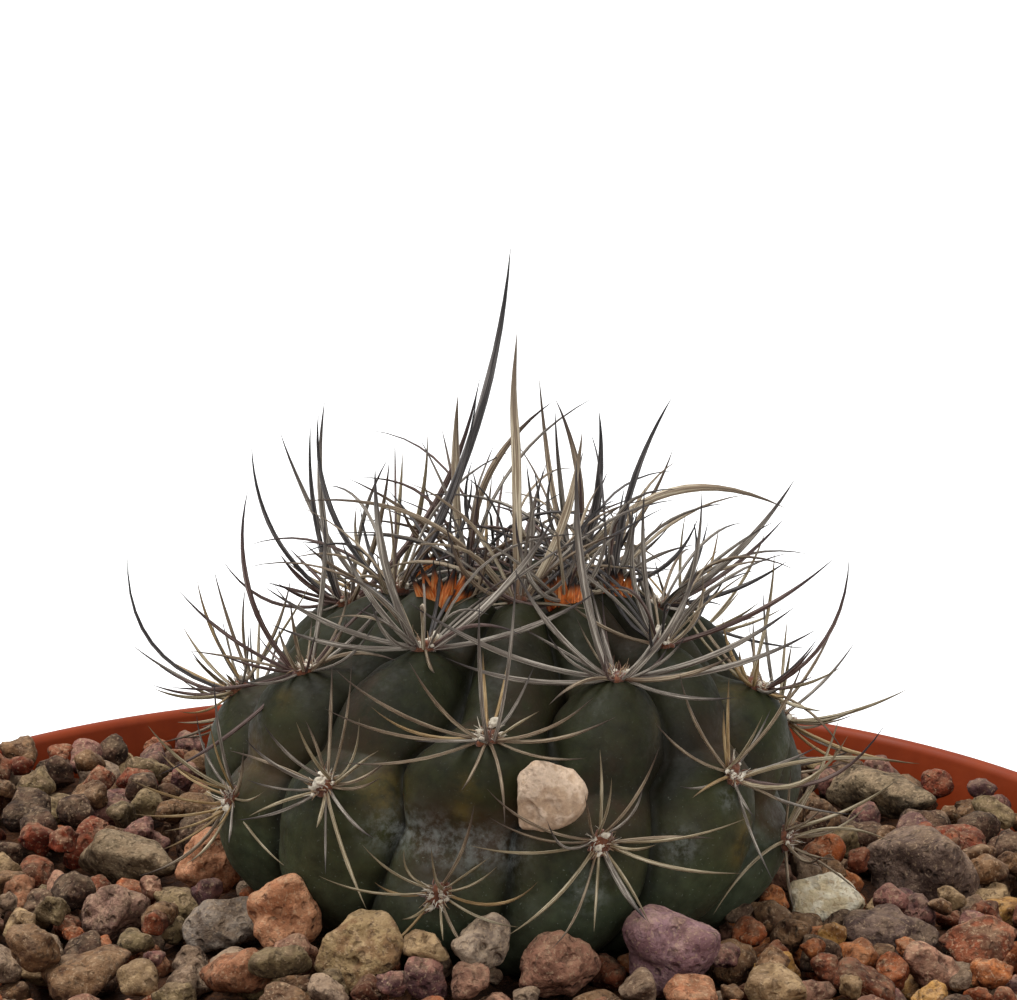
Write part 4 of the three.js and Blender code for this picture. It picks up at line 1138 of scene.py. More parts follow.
def swelling(rib, theta):
    """Swelling along a rib: 1 on the chin under an areole, 0 in the notch over the next."""
    spots = AREOLES[rib % RIB_COUNT]
    first_gap = min(spots[0], AREOLE_GAP)
    knots = [spots[0] - first_gap, *spots, spots[-1] + AREOLE_GAP]
    along = np.interp(theta, knots, range(len(knots))) % 1
    falling = 0.5 + 0.5 * np.cos(np.pi * (along - CHIN_PEAK) / (CHIN_NOTCH - CHIN_PEAK))
    climbed = np.where(along < CHIN_PEAK, along + 1 - CHIN_NOTCH, along - CHIN_NOTCH)
    rising = 0.5 - 0.5 * np.cos(np.pi * climbed / (1 - CHIN_NOTCH + CHIN_PEAK))
    return np.where((along >= CHIN_PEAK) & (along < CHIN_NOTCH), falling, rising) ** CHIN_POWER


def dome_shape(azimuth):
    """Belt radius and the powers above and below it: the stem is slimmer seen from the front."""
    sideways = np.sin(azimuth) ** 2
    radius = STEM_RADIUS * mix(1, SIDE_SHARE, sideways)
    return (radius, CROWN_POWER + SIDE_CROWN_POWER * sideways,
            FOOT_POWER + SIDE_FOOT_POWER * sideways)


def dome(theta, azimuth):
    """Radius and height of the plain dome at an angle from the crown."""
    belt_radius, crown_power, foot_power = dome_shape(azimuth)
    sine = np.maximum(np.sin(np.radians(theta)), 0)
    cosine = np.cos(np.radians(theta))
    upper = cosine >= 0
    steep = np.abs(cosine)
    radius = belt_radius * np.where(upper, sine ** crown_power, sine ** foot_power)
    height = BELT + np.where(
        upper, CROWN_RISE * steep ** crown_power, -FOOT_DROP * steep ** foot_power)
    return radius, height


def skin(rib, across, theta):
    """Points on the skin, with how far each is up the ridge and into the notch."""
    across, theta = np.broadcast_arrays(np.asarray(across, float), np.asarray(theta, float))
    side = np.where(across < 0.5, -1, 1)
    own = swelling(rib, theta)
    other = np.where(side < 0, swelling(rib - 1, theta), swelling(rib + 1, theta))
    middle = ridge_azimuth(rib, theta)
    beside = np.where(side < 0, ridge_azimuth(rib - 1, theta), ridge_azimuth(rib + 1, theta))
    furrow = (beside + middle) / 2 + side * FURROW_SWAY * (own - other)
    off = np.abs(2 * across - 1)
    azimuth = np.radians(mix(middle, furrow, off))
    ridge = np.maximum(np.cos(off * np.pi / 2), 0) ** RIDGE_POWER
    swell = own + (other - own) * 0.5 * off * off
    radius, height = dome(theta, azimuth)
    radius_after, height_after = dome(theta + SLOPE_STEP, azimuth)
    radius_before, height_before = dome(np.maximum(theta - SLOPE_STEP, 0), azimuth)
    slope = np.hypot(radius_after - radius_before, height_after - height_before)
    outward = -(height_after - height_before) / slope
    upward = (radius_after - radius_before) / slope
    low = smooth((theta - FURROW_LOW_FROM) / (FURROW_LOW_TO - FURROW_LOW_FROM))
    depth = FURROW_DEPTH * smooth(theta / FURROW_FADE) * mix(1, FURROW_LOW_SHARE, low)
    rise = (CHIN * smooth(theta / CHIN_FADE) * (2 * swell - 1) * mix(CHIN_IN_FURROW, 1, ridge)
            - depth * (1 - ridge))
    crown = (CROWN_SWELL * np.exp(-(((radius - SWELL_RADIUS) / SWELL_WIDTH) ** 2))
             - CROWN_DIMPLE * np.exp(-((radius / DIMPLE_RADIUS) ** 2)))
    crown = np.where(theta < 90, crown, 0)
    final = np.maximum(radius + outward * rise, 0)
    points = STEM_AT + np.stack([
        final * np.sin(azimuth), -final * np.cos(azimuth), height + upward * rise + crown,
    ], axis=-1)
    return points, ridge, 1 - swell


def patches(points, spots):
    """Soft patches on the skin: each spot is a rib, a share across it, degrees and a width."""
    total = np.zeros(len(points))
    for rib, across, theta, wide in spots:
        off = np.linalg.norm(points - skin(rib, across, theta)[0], axis=1)
        total += np.exp(-((off / wide) ** 2))
    return np.minimum(total, 1)


def make_stem():
    """Ribbed stem with a fine wrinkled skin."""
    thetas = np.linspace(STEM_TOP_ANGLE, FOOT_ANGLE, STEM_ROWS)[:, None]
    across = (np.arange(STEM_COLUMNS) / STEM_COLUMNS)[None, :]
    strips = [skin(rib, across, thetas) for rib in range(RIB_COUNT)]
    grid, crest, notch = (np.concatenate([strip[i] for strip in strips], axis=1) for i in range(3))
    downwards = np.gradient(grid, axis=0)
    around = np.roll(grid, -1, axis=1) - np.roll(grid, 1, axis=1)
    normal = unit(np.cross(around, downwards))
    normal *= np.sign((normal * (grid - STEM_AT - [0, 0, BELT])).sum(-1, keepdims=True))
    grid = grid + normal * layered_noise(grid, SKIN_RELIEF, SEEDS["skin"])[..., None]
    points = np.concatenate([grid.reshape(-1, 3), grid[:1].mean(axis=1)])
    columns = grid.shape[1]
    top = [[len(points) - 1, j, (j + 1) % columns] for j in range(columns)]
    faces = band_faces(STEM_ROWS, columns) + top
    stem = add_piece("stem", points, faces, [skin_material()])
    mark(stem, "crest", np.append(crest.ravel(), 0))
    mark(stem, "notch", np.append(notch.ravel(), 0))
    mark(stem, "rise", (points[:, 2] - STEM_AT[2]) / (BELT + CROWN_RISE))
    for name, spots in SKIN_PATCHES.items():
        mark(stem, name, patches(points, spots))
    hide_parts("cactus")


# Spines

def areole(rib, theta, share=0.5):
    """Place and directions of an areole: across the rib, up the rib and out of the skin."""
    at = skin(rib, share, theta)[0]
    above, below = (skin(rib, share, theta + step)[0] for step in (-AREOLE_STEP, AREOLE_STEP))
    left, right = (skin(rib, share + step, theta)[0]
                   for step in (-AREOLE_SHARE_STEP, AREOLE_SHARE_STEP))
    up = unit(above - below)
    across = unit(right - left)
    return {"at": at, "up": up, "across": across, "out": unit(np.cross(across, up)),
            "theta": theta}


def inside_dome(point):
    """Whether a point lies in the plain dome grown by the room that spines keep to the skin."""
    right, back, up = point - STEM_AT
    belt_radius, crown_power, foot_power = dome_shape(math.atan2(right, -back))
    height = up - BELT
    rise = CROWN_RISE if height > 0 else FOOT_DROP
    power = 2 / (crown_power if height > 0 else foot_power)
    wide = (math.hypot(right, back) / (belt_radius + SPINE_TO_SKIN)) ** power
    return wide + (abs(height) / (rise + SPINE_TO_SKIN)) ** power < 1


def direction(place, clock, lift):
    """Unit vector from an areole: clock turns round it from up, lift rises from the skin."""
    return (place["up"] * math.cos(lift) * math.cos(clock)
            + place["across"] * math.cos(lift) * math.sin(clock)
            + place["out"] * math.sin(lift))


def keep_off_stem(place, offset):
    while any(inside_dome(place["at"] + offset * share) for share in SPINE_TESTED_AT):
        offset = offset + place["out"] * PUSHED_OUT
    return offset


def ruled_spines(place, count, draw):
    """Offsets of the spines that the rule adds to an areole, as in the solid model."""
    offsets = []
    middles = math.floor(count * MIDDLE_SHARE + 0.5)
    middle_lengths = MIDDLE_LENGTHS
    if place["theta"] < CROWN_ANGLE:
        middle_lengths = CROWN_MIDDLE_LENGTHS
    elif place["theta"] > LOW_AREOLE:
        middle_lengths = LOW_MIDDLE_LENGTHS
    for i in range(count):
        in_middle = i < middles
        turns = i / middles if in_middle else (i - middles) / (count - middles)
        clock = 2 * math.pi * (turns + CLOCK_JITTER * (next(draw) - 0.5))
        length = mix(*(middle_lengths if in_middle else OUTER_LENGTHS), next(draw))
        lift = math.radians(mix(*(MIDDLE_LIFTS if in_middle else OUTER_LIFTS), next(draw)))
        offset = direction(place, clock, lift) * length
        offset[2] = max(offset[2], POT_HEIGHT + SPINE_CLEAR - place["at"][2])
        offsets.append(keep_off_stem(place, offset))
    return offsets


class Bundle:
    """Tapered curved needles gathered into one mesh, each of a kind that sets its material."""

    def __init__(self, kinds):
        self.kinds = list(kinds)
        self.points, self.faces, self.corners, self.slots, self.numbers = [], [], [], [], []
        self.count = 0

    def add(self, centres, radii, kind, sides, flat=1.0, across=None):
        """Needle round a line of centres, with both of its ends closed in points."""
        rings = len(centres)
        along = unit(np.gradient(centres, axis=0))
        side = np.cross(along[rings // 2], OFF_ANY_SPINE) if across is None else across
        side = unit(side - along * (along @ side)[:, None])
        other = np.cross(along, side)
        angles = ring_angles(sides)
        ring = (side[:, None] * np.cos(angles)[None, :, None]
                + other[:, None] * np.sin(angles)[None, :, None] * flat)
        body = centres[:, None] + ring * radii[:, None, None]
        faces, corners = tube_faces(rings, sides)
        start = len(self.numbers)
        self.faces.extend([start + corner for corner in face] for face in faces)
        self.corners.extend(corners)
        self.slots.extend([self.kinds.index(kind)] * len(faces))
        self.numbers.extend([self.count] * (rings * sides + 2))
        self.points.extend([centres[:1] - along[:1] * radii[0], body.reshape(-1, 3),
                            centres[-1:] + along[-1:] * radii[-1] * 2])
        self.count += 1

    def make(self, name, materials):
        piece = add_piece(name, np.concatenate(self.points), self.faces,
                          [materials[kind] for kind in self.kinds], self.slots, self.corners)
        mark(piece, "spine_number", self.numbers)
        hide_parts("cactus")


def spine_line(place, offset, sag, rings):
    """Centres of a spine from its sunk root to its tip, as one smooth bow."""
    chord = unit(offset)
    lift = np.array([0, 0, 1.0]) - chord * chord[2]
    if np.linalg.norm(lift) < NEARLY_UPRIGHT:
        lift = -(place["out"] - chord * (chord @ place["out"]))
    lift = unit(lift)
    along = offset - place["out"] * (offset @ place["out"])
    foot = place["at"] + unit(along) * SPINE_RING * min(np.linalg.norm(along), 1)
    tip = place["at"] + offset
    control = (foot + tip) / 2 - lift * 2 * sag
    shares = np.linspace(0, 1, rings)[:, None]
    bow = mix(mix(foot, control, shares), mix(control, tip, shares), shares)
    root = foot - unit(control - foot) * SPINE_ROOT - place["out"] * SPINE_SINK
    return np.concatenate([root[None], bow])


def spine_radii(width, rings):
    """Radius at each ring: a little swollen at the foot, widest low down, drawn to a point."""
    share = np.linspace(0, 1, rings)
    taper = np.minimum((1 - share) / TAPER_SHARE, 1) ** TAPER_POWER
    belly = SPINE_BELLY * smooth(share / SPINE_BELLY_AT)
    swell = SPINE_FOOT_SWELL * np.exp(-share * SPINE_FOOT_FADE)
    shape = (SPINE_BODY + belly + swell) * taper
    root = width * SPINE_ROOT_WIDTH
    return np.concatenate([[root], np.maximum(shape, LEAST_TAPER) * width / 2])


def add_spine(bundle, place, offset, sag, width, kind, wander):
    """Spine of an areole. Its number sets how it wanders off its bow and swells."""
    number = bundle.count
    rings, sides = THICK_MESH if width > THICK_SPINE else THIN_MESH
    line = spine_line(place, offset, sag, rings)
    radii = spine_radii(width, rings)
    drift = layered_noise(
        line / WANDER_LENGTH + number * SPINE_STEP, [(1.0, wander)], number % WANDER_SEEDS)
    line = line + place["across"] * (drift * np.linspace(0, 1, len(line)))[:, None]
    bumps = lattice_noise(line * UNEVEN_A_MM + number, number % UNEVEN_SEEDS)
    uneven = 1 + SPINE_UNEVEN * bumps
    bundle.add(line, radii * uneven, kind, sides)


def pick(draw, choices):
    return choices[int(next(draw) * len(choices)) % len(choices)]


def ruled_kind(place, draw):
    if place["theta"] < CROWN_ANGLE:
        return pick(draw, CROWN_KINDS)
    return pick(draw, SIDE_KINDS if place["theta"] < LOW_AREOLE else LOW_KINDS)


def fine_spines(bundle, place, draw):
    """Thin spines close to the skin, and at the crown a tangle that arches over."""
    if place["theta"] < CROWN_ANGLE:
        count, lengths, lifts = CROWN_FINE_SPINES, CROWN_FINE_LENGTHS, CROWN_FINE_LIFTS
        bows = ARCH_SHARES
    else:
        count = SIDE_FINE_SPINES if place["theta"] < LOW_AREOLE else FINE_SPINES
        lengths, lifts, bows = FINE_LENGTHS, FINE_LIFTS, FINE_SAG_SHARES
    for i in range(count):
        clock = 2 * math.pi * (i + 0.5 + FINE_JITTER * (next(draw) - 0.5)) / count
        length = mix(*lengths, next(draw))
        lift = math.radians(mix(*lifts, next(draw)))
        width = mix(*FINE_WIDTHS, next(draw))
        kind = ruled_kind(place, draw)
        bow = mix(*bows, next(draw)) * length
        offset = keep_off_stem(place, direction(place, clock, lift) * length)
        offset[2] = max(offset[2], POT_HEIGHT + FINE_CLEAR - place["at"][2])
        add_spine(bundle, place, offset, bow, width, kind, FINE_WANDER)


def make_spines(materials):
    """Long spines of every areole, and the fine ones between them."""
    kinds = [kind for kind in SPINE_KINDS if kind != "young"]
    long_ones, fine_ones = Bundle(kinds), Bundle(kinds)
    draw = draws_from(SEEDS["spines"])
    more = draws_from(SEEDS["fine"])
    for rib, nth, theta in AREOLE_PLACES:
        place = areole(rib, theta)
        slim = LOW_WIDTH_SHARE if theta > LOW_AREOLE else 1
        fill, seen = SEEN_SPINES.get((rib, nth), (SPINES_AN_AREOLE, []))
        for kind, right, back, up, width, *bend in seen:
            offset = np.array([right, back, up], float)
            sag = bend[0] if bend else SAG_SHARE * np.linalg.norm(offset)
            add_spine(long_ones, place, offset, sag, width * slim, kind, SEEN_WANDER)
        sag_share = CROWN_SAG_SHARE if theta < CROWN_ANGLE else SAG_SHARE
        for offset in ruled_spines(place, fill, draw):
            length = np.linalg.norm(offset)
            width = min(RULED_WIDTH + WIDTH_A_MM * length, WIDEST_RULED) * slim
            kind = ruled_kind(place, more)
            add_spine(long_ones, place, offset, sag_share * length, width, kind, RULED_WANDER)
        fine_spines(fine_ones, place, more)
    long_ones.make("long_spines", materials)
    fine_ones.make("fine_spines", materials)


def ball(level):
    """Unit directions and triangles of a ball made of even triangles."""
    mesh = bmesh.new()
    bmesh.ops.create_icosphere(mesh, subdivisions=level, radius=1)
    mesh.verts.ensure_lookup_table()
    points = unit(np.array([vertex.co[:] for vertex in mesh.verts]))
    faces = np.array([[vertex.index for vertex in face.verts] for face in mesh.faces])
    mesh.free()
    return points, faces


class Cluster:
    """Lumpy shapes gathered into one mesh, all of them made from one ball of triangles."""

    def __init__(self, level):
        self.directions, self.faces = ball(level)
        self.points, self.corners, self.slots = [], [], []

    def add(self, points, slot):
        self.corners.append(self.faces + len(self.points) * len(self.directions))
        self.points.append(points)
        self.slots.extend([slot] * len(self.faces))

    def make(self, name, materials):
        faces = np.concatenate(self.corners).tolist()
        return add_piece(name, np.concatenate(self.points), faces, materials, self.slots)


def add_tuft(cluster, place, at, half, slot):
    """Lumpy tuft of wool on an areole."""
    shape = cluster.directions * half
    size = min(half)
    layers = [(size * wide, size * high) for wide, high in TUFT_LUMPS]
    relief = layered_noise(shape + at, layers, SEEDS["tufts"])
    shape = shape + cluster.directions * relief[:, None]
    cluster.add(shape @ np.stack([place["across"], place["up"], place["out"]]) + at, slot)


def add_hair(bundle, foot, aim, length, width, kind, draw):
    """Short soft hair that curls to one side."""
    shares = np.linspace(0, 1, HAIR_RINGS)[:, None]
    curl = unit(np.array([next(draw) - 0.5, next(draw) - 0.5, next(draw) - 0.5]))
    line = foot + aim * length * shares + curl * length * HAIR_CURL * shares ** 2
    radii = width / 2 * np.maximum(1 - shares[:, 0] ** 2, HAIR_TIP)
    bundle.add(line, radii, kind, HAIR_SIDES)


def make_wool(materials):
    """Pad of felt on every areole, with bits of white wool and tufts of short hair."""
    draw = draws_from(SEEDS["wool"])
    hair = Bundle(WOOL_KINDS)
    kinds = list(WOOL_KINDS)
    pads, bits = Cluster(PAD_LEVEL), Cluster(BIT_LEVEL)
    for rib, _, theta in AREOLE_PLACES:
        place = areole(rib, theta)
        add_tuft(pads, place, place["at"] - place["out"] * WOOL_SINK,
                 [WOOL_RADIUS, WOOL_RADIUS * WOOL_STRETCH, WOOL_RISE], kinds.index("rust wool"))
        for _ in range(BITS_AN_AREOLE):
            clock = 2 * math.pi * next(draw)
            reach = WOOL_RADIUS * mix(*BIT_REACHES, next(draw))
            radius = mix(*BIT_RADII, next(draw))
            at = place["at"] + direction(place, clock, 0) * reach + place["out"] * BIT_LIFT
            half = [radius * BIT_STRETCH, radius, radius]
            add_tuft(bits, place, at, half, kinds.index("white wool"))
        for _ in range(HAIRS_AN_AREOLE):
            clock = 2 * math.pi * next(draw)
            reach = WOOL_RADIUS * math.sqrt(next(draw))
            foot = place["at"] + direction(place, clock, 0) * reach + place["out"] * HAIR_FOOT
            lift = math.radians(mix(*HAIR_LIFTS, next(draw)))
            aim = direction(place, clock + HAIR_TURN * (next(draw) - 0.5), lift)
            length = mix(*HAIR_LENGTHS, next(draw))
            width = mix(*HAIR_WIDTHS, next(draw))
            add_hair(hair, foot, aim, length, width, pick(draw, HAIR_MIX), draw)
    for rib, theta, right, up, radius, kind in WOOL_BALLS:
        place = areole(rib, theta)
        lifted = place["at"] + place["out"] * BALL_LIFT
        at = lifted + place["across"] * right + place["up"] * up
        add_tuft(pads, place, at, [radius] * 3, kinds.index(kind))
    for cluster, name in ((pads, "wool_pads"), (bits, "wool_bits")):
        piece = cluster.make(name, [materials[kind] for kind in kinds])
        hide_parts("cactus")
    hair.make("wool_hair", materials)


def make_young_spines(materials):
    """Bunches of young flat spines at the crown, orange with black tips."""
    bundle = Bundle(["young"])
    draw = draws_from(SEEDS["young"])
    sideways = np.array([1.0, 0.0, 0.0])
    shares = np.linspace(0, 1, YOUNG_RINGS)[:, None]
    taper = np.maximum(1 - shares[:, 0] ** YOUNG_TAPER_POWER, LEAST_TAPER)
    for rib, share, theta, count, length, wide in YOUNG_BUNCHES:
        place = areole(rib, theta, share)
        for i in range(count):
            spread = (i + 0.5) / count * 2 - 1
            row = place["up"] * ((next(draw) - 0.5) * YOUNG_ROW)
            foot = place["at"] + sideways * spread * wide * YOUNG_FOOT_SPREAD + row
            back = place["up"] * mix(-YOUNG_LEAN, YOUNG_LEAN, next(draw))
            lean = sideways * spread * wide * YOUNG_TIP_SPREAD + back
            shorter = 1 - YOUNG_EDGE_SHORTER * spread ** 2
            reach = length * mix(*YOUNG_REACHES, next(draw)) * shorter
            aim = unit(place["out"] * YOUNG_OUTWARD + YOUNG_AIM + lean)
            bow = sideways * spread * YOUNG_BOW * shares ** 2
            line = foot - place["out"] * YOUNG_SINK + aim * reach * shares + bow
            radii = mix(*YOUNG_RADII, next(draw)) * taper
            bundle.add(line, radii, "young", YOUNG_SIDES, YOUNG_FLATNESS, sideways)
    bundle.make("young_spines", materials)


# Stones

def stone_shape(directions, half, seed, dents=(), worn=STONE_WEAR, sides_count=STONE_SIDES):
    """Block with flat sides at random and soft edges, then lumps, dents and small pits."""
    draw = np.random.default_rng(seed)
    sides = unit(draw.normal(size=(sides_count, 3)))
    depths = draw.uniform(*STONE_SIDE_DEPTHS, len(sides))
    reach = np.maximum(directions @ sides.T, 0) / depths
    rounded = (reach ** STONE_CORNERS).sum(axis=1) + STONE_ROUNDING ** STONE_CORNERS
    radius = rounded ** (-1 / STONE_CORNERS)
    shape = directions * radius[:, None]
    low, high = shape.min(axis=0), shape.max(axis=0)
    shape = (shape - (low + high) / 2) / (high - low) * 2 * np.asarray(half)
    size = float(np.mean(half))
    layers = [(size * wide, size * high) for wide, high in STONE_LUMPS] + STONE_GRAIN
    place = shape + seed % LUMP_PLACES * STONE_STEP
    relief = layered_noise(place, layers, seed % LUMP_SEEDS) * worn
    for aim in unit(draw.normal(size=(int(size * PITS_A_MM * worn), 3))):
        wide = draw.uniform(*STONE_PITS) / size
        off = np.linalg.norm(directions - aim, axis=1)
        relief -= wide * size * PIT_DEPTH * smooth(1 - off / wide)
    for aim, wide, depth in dents:
        off = np.linalg.norm(directions - unit(np.array(aim, float)), axis=1)
        relief -= depth * smooth(DENT_SIDES * (1 - off / math.radians(wide)))
    return shape + unit(shape) * relief[:, None]


def turned(points, around, tilt=0.0, towards=0.0):
    """Points turned about the upright axis, after a tilt towards a direction. Degrees."""
    turn = (Matrix.Rotation(math.radians(towards), 3, "Z")
            @ Matrix.Rotation(math.radians(tilt), 3, "X")
            @ Matrix.Rotation(math.radians(around - towards), 3, "Z"))
    return points @ np.array(turn).T


def make_placed_stones():
    directions, faces = ball(PLACED_LEVEL)
    for index, (name, (at, half, turn, tones, dents)) in enumerate(PLACED_STONES.items()):
        worn, sides_count = STONE_WEAR, STONE_SIDES
        if name == "stone_lodged":
            worn, sides_count = LODGED_WEAR, LODGED_SIDES
        dents = [(turned(np.array(aim, float), -turn), *rest) for aim, *rest in dents]
        seed = SEEDS["placed stones"] + index
        shape = stone_shape(directions, half, seed, dents, worn, sides_count)
        points = turned(shape, turn) + at
        rock = stone_material(name + " rock", *tones, pitted=worn)
        stone = add_piece(name + "_rock", points, faces.tolist(), [rock])
        mark(stone, "shade", np.ones(len(points)))
        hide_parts(name)


def bed_height(x, y):
    """Level that the gravel's stones rise from, as in the solid model."""
    share = (np.hypot(x - STEM_AT[0], y - STEM_AT[1]) - MOUND_RADIUS) / (MOUND_END - MOUND_RADIUS)
    heaped = sum(rise * smooth(1 - np.hypot(x - at[0], y - at[1]) / reach)
                 for at, reach, rise in HEAPS)
    return mix(GRAVEL_AT_PLANT, GRAVEL_AT_WALL, smooth(share)) + heaped


def stem_underside(x, y):
    """Height of the plain dome's lower half, or far above the bed beyond it."""
    right, back = x - STEM_AT[0], y - STEM_AT[1]
    belt_radius, _, foot_power = dome_shape(np.arctan2(right, -back))
    radius = np.hypot(right, back) / (belt_radius + STEM_ROOM)
    inside = np.clip(1 - radius ** (2 / foot_power), 0, 1)
    under = STEM_AT[2] + BELT - FOOT_DROP * inside ** (foot_power / 2)
    return np.where(radius < 1, under, FAR_OFF)


class Bed:
    """Height of what is laid in the pot so far, on a square grid, to drop stones on."""

    def __init__(self):
        steps = (np.arange(BED_CELLS) + 0.5) / BED_CELLS * 2 - 1
        self.x, self.y = np.meshgrid(steps * RIM_RADIUS, steps * RIM_RADIUS, indexing="ij")
        self.base = bed_height(self.x, self.y)
        places = np.stack([self.x, self.y, self.base], axis=-1)
        self.height = self.base - BED_DROP + layered_noise(places, BED_RELIEF, SEEDS["bed"])
        self.ceiling = stem_underside(self.x, self.y)
        self.wall = inside_radius(GRAVEL_AT_WALL + 1)
        for at, half, *_ in PLACED_STONES.values():
            self.keep_in_sight(at, half)
        self.open = ((np.hypot(self.x, self.y) < self.wall - OPEN_ROOM)
                     & (self.ceiling > self.base + OPEN_ROOM))

    def keep_in_sight(self, at, half):
        """Hold back what would lie in front of a stone that the photo shows."""
        in_front = at[1] - self.y
        before = (np.abs(self.x - at[0]) < half[0]) & (in_front > 0) & (in_front < CLEAR_REACH)
        clear = at[2] - half[2] * CLEAR_FROM + in_front * SIGHT_SLOPE
        self.ceiling = np.where(before, np.minimum(self.ceiling, clear), self.ceiling)

    def footprint(self, at, half):
        """Cells under a stone, and the half height of the stone over each."""
        cell = 2 * RIM_RADIUS / BED_CELLS
        reach = int(max(half[0], half[1]) / cell) + 2
        i, j = (int((value + RIM_RADIUS) / cell) for value in at[:2])
        window = (slice(max(i - reach, 0), i + reach + 1), slice(max(j - reach, 0), j + reach + 1))
        off = ((self.x[window] - at[0]) / half[0]) ** 2 + ((self.y[window] - at[1]) / half[1]) ** 2
        return window, off < 1, half[2] * np.sqrt(np.clip(1 - off, 0, 1))

    def rest(self, at, half):
        """Height of a stone's centre when it lies on what is there, or None if it can't lie."""
        if math.hypot(at[0], at[1]) > self.wall - max(half[0], half[1]) * WALL_ROOM:
            return None
        window, under, thick = self.footprint(at, half)
        centre = (self.height[window] + thick)[under].max() - STONE_SINK * half[2]
        if (centre + thick - self.ceiling[window])[under].max() > MOST_OVERLAP:
            return None
        return centre

    def lay(self, at, half):
        window, under, thick = self.footprint(at, half)
        top = np.where(under, at[2] + thick * (1 - STONE_SINK), -FAR_OFF)
        self.height[window] = np.maximum(self.height[window], top)


def fill_bed(bed, laid, count, tops, reach, draw):
    """Stones dropped one by one into the deepest hollow, up to a height over the bed."""
    uneven = draw.uniform(0, HOLLOW_JITTER, bed.height.shape)
    end = len(laid) + count
    for _ in range(STONE_TRIES * count):
        depth = np.where(bed.open & reach, bed.height - bed.base + uneven, FAR_OFF)
        i, j = np.unravel_index(depth.argmin(), depth.shape)
        if len(laid) == end or depth[i, j] == FAR_OFF:
            break
        wide = draw.choice(STONE_WIDTHS, p=STONE_SHARES) * draw.uniform(*STONE_SPREAD)
        long = draw.uniform(*STONE_LENGTHS)
        flat = draw.uniform(*STONE_FLATNESS)
        for shrink in STONE_SHRINKS:
            half = wide * shrink * np.array([long ** 0.5, long ** -0.5, flat])
            at = np.array([bed.x[i, j], bed.y[i, j], 0.0])
            at[:2] += draw.uniform(-STONE_SHIFT, STONE_SHIFT, 2) * shrink
            height = bed.rest(at, half[[0, 0, 2]])
            if height is not None and height + half[2] < bed.base[i, j] + tops:
                break
        else:
            uneven[i, j] += PASSED_OVER
            continue
        at[2] = height
        bed.lay(at, half[[0, 0, 2]])
        share = smooth((at[0] - KIND_CHANGE[0]) / (KIND_CHANGE[1] - KIND_CHANGE[0]))
        kinds = RIGHT_KINDS if draw.random() < share else LEFT_KINDS
        # Painted shade: stones at the back take darker kinds
        kinds = SHADED_BACK_KINDS if at[1] > BACK_FROM else kinds
        laid.append((at, half, draw.uniform(0, 180), kinds[int(draw.integers(len(kinds)))]))


def drop_stones(bed):
    """Gravel: a first layer under the stones of the front, what the photo shows, the rest."""
    draw = np.random.default_rng(SEEDS["gravel"])
    hidden, laid = [], []
    front = (bed.y < 0) & (bed.y > -FRONT_REACH) & (np.abs(bed.x) < FRONT_HALF_WIDTH)
    fill_bed(bed, hidden, UNDER_STONES, UNDER_TOPS, front, draw)
    for right, back, across, up, kind in SEEN_STONES:
        half = np.array([across, across * SEEN_DEPTH_SHARE, up])
        at = np.array([right, back, 0.0])
        height = bed.rest(at, half)
        if height is None:
            continue
        at[2] = height
        bed.lay(at, half)
        laid.append((at, half, 0.0, kind))
        if kind == "cream":
            bed.keep_in_sight(at, half)
    everywhere = np.full(bed.x.shape, True)
    fill_bed(bed, laid, STONE_COUNT - UNDER_STONES, STONE_TOPS, everywhere, draw)
    return sorted(laid, key=lambda stone: in_photo(stone[0])) + hidden


def in_photo(at):
    """Rank of a stone by how near it lies to the viewer, last where the photo doesn't reach."""
    seen = at[1] > -PHOTO_REACH and abs(at[0]) < PHOTO_HALF_WIDTH + at[1] * PHOTO_SPREAD
    return at[1] if seen else OUT_OF_PHOTO + abs(at[1])


def gather_stones(name, stones, level, materials, first_seed):
    """One piece of many stones."""
    rocks = Cluster(level)
    draw = np.random.default_rng(first_seed)
    kinds = list(STONE_KINDS)
    shades = []
    for index, (at, half, turn, kind) in enumerate(stones):
        shape = stone_shape(rocks.directions, half, first_seed + index)
        tilt, towards = draw.uniform(0, STONE_TILT), draw.uniform(0, 360)
        rocks.add(turned(shape, turn, tilt, towards) + at, kinds.index(kind))
        shades.extend([draw.uniform(*STONE_SHADES)] * len(shape))
    piece = rocks.make(name, materials)
    mark(piece, "shade", shades)
    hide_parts("gravel")


def make_bed_floor(bed):
    """Dark crumbs under the stones, out to the wall and in under the stem."""
    soil = soil_material()
    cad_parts["soil"].material_slots[0].material = soil
    angles = ring_angles(CRUMB_COLUMNS)
    radii = np.linspace(CRUMB_FROM, bed.wall - CRUMB_TO_WALL, CRUMB_ROWS)
    x = radii[:, None] * np.cos(angles)
    y = radii[:, None] * np.sin(angles)
    top = np.stack([x, y, bed_height(x, y)], axis=-1)
    top[..., 2] += layered_noise(top, CRUMB_RELIEF, SEEDS["bed"]) - BED_DROP
    foot = top[-1:] * [1, 1, 0] + [0, 0, GRAVEL_AT_WALL - CRUMB_FOOT]
    points = np.concatenate([top, foot]).reshape(-1, 3)
    piece = add_piece("crumb_bed", points, band_faces(CRUMB_ROWS + 1, CRUMB_COLUMNS), [soil])
    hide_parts("gravel")


